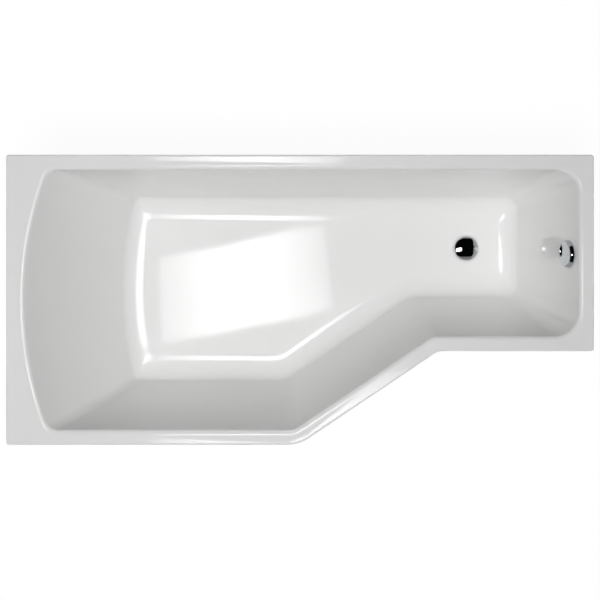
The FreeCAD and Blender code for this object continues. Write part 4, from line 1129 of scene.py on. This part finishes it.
# %% [markdown]
# Six pan-head screws go up through the rails into the board. Their cross recess is pressed in: the rule
# lifts the points of the head's face that lie near either of two crossed lines.

# %% Rail screws
bench, base, depth, places = rule("cross_screws", "Depth", "Places")
CROSS_WIDTH, CROSS_REACH, HEAD_FACE = (0.00045, 0.0008), (0.0022, 0.0027), (-0.0040, -0.0036)
x, y, z = place_of(bench)
near = x.math("ABSOLUTE").math("MINIMUM", y.math("ABSOLUTE"))
reach = polar(bench)[0]
pressed = (1.0 - step(bench, near, *CROSS_WIDTH)) * (1.0 - step(bench, reach, *CROSS_REACH))
face = 1.0 - step(bench, z, *HEAD_FACE)
lift = bench.add("ShaderNodeCombineXYZ", {}, {"Z": depth * pressed * face})
screw = bench.add("GeometryNodeSetPosition", {}, {"Geometry": base, "Offset": lift})
close_rule(bench, copies(bench, screw, places), zinc)

HEAD_ROW, FOOT_ROW = (-0.1125, -0.0375, 0.0375, 0.1125), (0.090, 0.165)
CROSS_DEPTH = 0.0011
screw_points = [Vector((feet[1].x, y, rail_tops[1])) for y in HEAD_ROW]
screw_points += [Vector((feet[3].x, y, rail_tops[3])) for y in FOOT_ROW]
head_steps = (0.0, 0.5, 1.0, 1.5, 2.0, 2.4, 2.8, 3.3, 3.8, 4.2)
head = [(r, -3.8 - 1.3 * math.sqrt(1 - (r / 4.5) ** 2)) for r in head_steps]
screw_profile = head + [(4.5, -3.8), (4.5, -2.5), (2.4, -2.5), (2.4, 9.2), (0, 14)]
screw_blank = lathe("screw", in_metres(screw_profile), None, 48)
screws = grown("screws", bench, screw_blank, Depth=CROSS_DEPTH, Places=marks_at("screw_places", screw_points))
piece("screws", smoothed(screws), [zinc], "tub", ["rail_screws"])

# %% [markdown]
# The plastic union nuts are tightened by hand, so they have a grip of sixteen grooves. The blank is a ring,
# and at the trap's inlet it has a lip that bears on the pipe. The rule presses the grooves into its outside
# only.

# %% Union nuts
GROOVE_DEPTH, GROOVE_SIDE, GROOVES = 0.0011, (0.35, 0.85), 16.0
bench, base, crest, depth, count = rule("grip", "Crest", "Depth", "Count")
radius, turn, height = polar(bench)
ripple = turn * count * math.tau
groove = step(bench, ripple.math("COSINE"), *GROOVE_SIDE)
gripped = radius.math("MINIMUM", crest - depth * groove)
close_rule(bench, set_polar(bench, base, gripped, turn, height), grey_plastic)

UNION_HIGH, UNION_EDGE, UNION_LIP = 24, 0.6, 3


def union_nut(node, bore, outer, lip, low, place):
    """One union nut, turned about its pipe's axis, from sizes in millimetres."""
    high = low + UNION_HIGH
    side = [(outer, low + up) for up in (UNION_EDGE, 3, 9, 15, 21)]
    profile = [(bore, low), (outer - UNION_EDGE, low), *side, (outer, high - UNION_EDGE)]
    profile += [(outer - UNION_EDGE, high), (bore, high)]
    if lip:
        profile = [(bore, low + UNION_LIP), (lip, low + UNION_LIP), (lip, low)] + profile[1:]
    blank = lathe(node, in_metres(profile), None, 128)
    mesh = grown(node, bench, blank, Crest=outer * MM, Depth=GROOVE_DEPTH, Count=GROOVES)
    mesh.transform(place)
    piece(node.replace("_nut", "_union"), smoothed(mesh), [grey_plastic], "tub", [node])


def turned(axis, degrees):
    """A turn about one axis."""
    return Matrix.Rotation(math.radians(degrees), 4, axis)


PIPE_NUT = {"bore": 20.3, "outer": 24.77, "lip": None, "low": -UNION_HIGH / 2}
SPIGOT_END = (-0.075, 0.0, -0.0323)
trap_end = Vector((WASTE.x, WASTE.y + 0.122, 0.110))
branch_end = Vector((WASTE.x + 0.070, WASTE.y, 0.1335))
hose_top = overflow @ Matrix.Translation(SPIGOT_END)
union_nut("trap_inlet_nut", bore=24.2, outer=28.67, lip=20.3, low=78.7, place=waste)
union_nut("trap_outlet_nut", place=Matrix.Translation(trap_end) @ turned("X", -90), **PIPE_NUT)
union_nut("hose_nut_lower", place=Matrix.Translation(branch_end) @ turned("Y", 90), **PIPE_NUT)
union_nut("hose_nut_upper", place=hose_top @ turned("Y", 90), **PIPE_NUT)

# %% [markdown]
# The overflow hose is corrugated so that it can bend. It is blown into a ribbed mould as a straight tube,
# and so it is made here: the rule first presses the valleys between two plain cuffs, then lays the tube
# along a path. The path is a line of three points with a rounded corner, and each point of the tube moves
# to the path's point at its own height.

# %% Overflow hose
HOSE, HOSE_BORE, VALLEY = 0.019, 0.015, 0.0022
VALLEY_START, VALLEY_END = (0.0, 0.22), (0.5, 0.72)
BEND, CUFF, RIB = 0.090, 0.026, 0.008
hose_sizes = ("Length", "Cuff", "Pitch", "Depth", "Bend")
bench, base, path, length, cuff, pitch, depth, bend = rule("ribbed_hose", "Path", *hose_sizes)
radius, turn, height = polar(bench)
place = (height - cuff) / pitch
phase = place.math("FRACT")
valley = step(bench, phase, *VALLEY_START) - step(bench, phase, *VALLEY_END)
ribbed = height.math("GREATER_THAN", cuff) * height.math("LESS_THAN", length - cuff)
outside = radius.math("GREATER_THAN", HOSE - VALLEY)
tube = set_polar(bench, base, radius - depth * valley * ribbed * outside, turn, height)
line = bench.add("GeometryNodeObjectInfo", {}, {"Object": path}, out="Geometry")
curve = bench.add("GeometryNodeMeshToCurve", {}, {"Mesh": line})
curve = bench.add("GeometryNodeFilletCurve", {"mode": "POLY"}, {"Curve": curve, "Count": 40, "Radius": bend})
on_path = bench.add("GeometryNodeSampleCurve", {"mode": "LENGTH", "use_all_curves": True},
                    {"Curves": curve, "Length": height}, out="Position")
along, normal = on_path.other("Tangent"), on_path.other("Normal")
sideways = bench.add("ShaderNodeVectorMath", {"operation": "CROSS_PRODUCT"}, {0: along, 1: normal})
x, y, _ = place_of(bench)
spot = on_path
for way, far in ((normal, x), (sideways, y)):
    spot = bench.add("ShaderNodeVectorMath", {"operation": "MULTIPLY_ADD"}, {0: way, 1: far, 2: spot})
laid = bench.add("GeometryNodeSetPosition", {}, {"Geometry": tube, "Position": spot})
close_rule(bench, laid, hose_plastic)

RIB_STEPS, BORE_STEPS = 10, 60
start = hose_top.translation
fall = -(overflow.to_3x3() @ Vector((1.0, 0.0, 0.0)))
corner = start + fall * ((branch_end.z - start.z) / fall.z)
angle = fall.angle(branch_end - corner)
saved = BEND * (2 * math.tan(angle / 2) - angle)
long = (corner - start).length + (branch_end - corner).length - saved
ribs = int((long - 2 * CUFF) / RIB)
cuff = (long - ribs * RIB) / 2
heights = [cuff + i * RIB / RIB_STEPS for i in range(ribs * RIB_STEPS + 1)]
heights = [0.0, cuff - MM] + heights + [long - cuff + MM, long]
bore = [(HOSE_BORE, long * i / BORE_STEPS) for i in range(BORE_STEPS, -1, -1)]
hose_blank = lathe("hose", [(HOSE, z) for z in heights] + bore, None, 48)
hose_path = marks_at("hose_path", [start, corner, branch_end], [(0, 1), (1, 2)])
hose = grown("hose", bench, hose_blank, Path=hose_path, Length=long, Cuff=cuff, Pitch=RIB, Depth=VALLEY,
             Bend=BEND)
piece("hose", smoothed(hose), [hose_plastic], "tub", ["overflow_hose"])
print("hose length", round(long, 4), "m, ribs", ribs)

# %% [markdown]
# ## Floor of the studio
# The background of the photograph is pure white. The floor is white to the camera and to mirrored and
# refracted rays, and an ordinary pale floor to all other light, so the object still stands in its own faint
# shadow.

# %% Studio floor
studio, bench, at = finish("studio_floor")
direct = bench.add("ShaderNodeLightPath", out="Is Camera Ray")
mirrored, refracted = direct.other("Is Glossy Ray"), direct.other("Is Transmission Ray")
seen = direct.math("MAXIMUM", mirrored).math("MAXIMUM", refracted)
grain = speckle(bench, at, 0.02, 3.0)
tint = between(bench, grain, (0.80, 0.80, 0.80), (0.84, 0.84, 0.84))
pale = bench.add("ShaderNodeBsdfDiffuse", {}, {"Color": tint})
white = bench.add("ShaderNodeEmission", {}, {"Color": (1.0, 1.0, 1.0, 1.0), "Strength": 1.06})
mixed = bench.add("ShaderNodeMixShader", {}, {0: seen * 0.90, 1: pale, 2: white})
bench.add("ShaderNodeOutputMaterial", {}, {"Surface": mixed})
HALF = 9.0
floor_corners = [(-HALF, -HALF, 0.0), (HALF, -HALF, 0.0), (HALF, HALF, 0.0), (-HALF, HALF, 0.0)]
floor_mesh = mesh_from("studio_floor", floor_corners, [(0, 1, 2, 3)])
floor_mesh.materials.append(studio)
studio_floor = bpy.data.objects.new("studio_floor", floor_mesh)
scene.collection.objects.link(studio_floor)
print("studio floor ready")

# %% [markdown]
# ## CAD pieces that stay as they are
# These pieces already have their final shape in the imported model, so they only take their finish.

# %% Finishes for the CAD nodes
stays = {
    "base_board": chipboard, "cradle_rail_head": galvanised, "cradle_rail_foot": galvanised,
    "waste_flange": chrome, "waste_gasket_upper": rubber, "waste_gasket_lower": rubber,
    "waste_body": white_plastic, "plug_seal": rubber, "plug_stem": brass, "lift_lever": brass,
    "trap_washer": rubber, "trap_bend": white_plastic, "outlet_pipe": white_plastic,
    "knob_spindle": brass, "cable_drum": grey_plastic, "overflow_clamp_ring": chrome,
    "overflow_gasket": rubber, "overflow_elbow": white_plastic, "control_cable": cable_sheath,
}
for name, material in stays.items():
    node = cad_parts[name]
    if node.material_slots:
        node.material_slots[0].material = material
    else:
        node.data.materials.append(material)
print("finishes on", len(stays), "nodes")
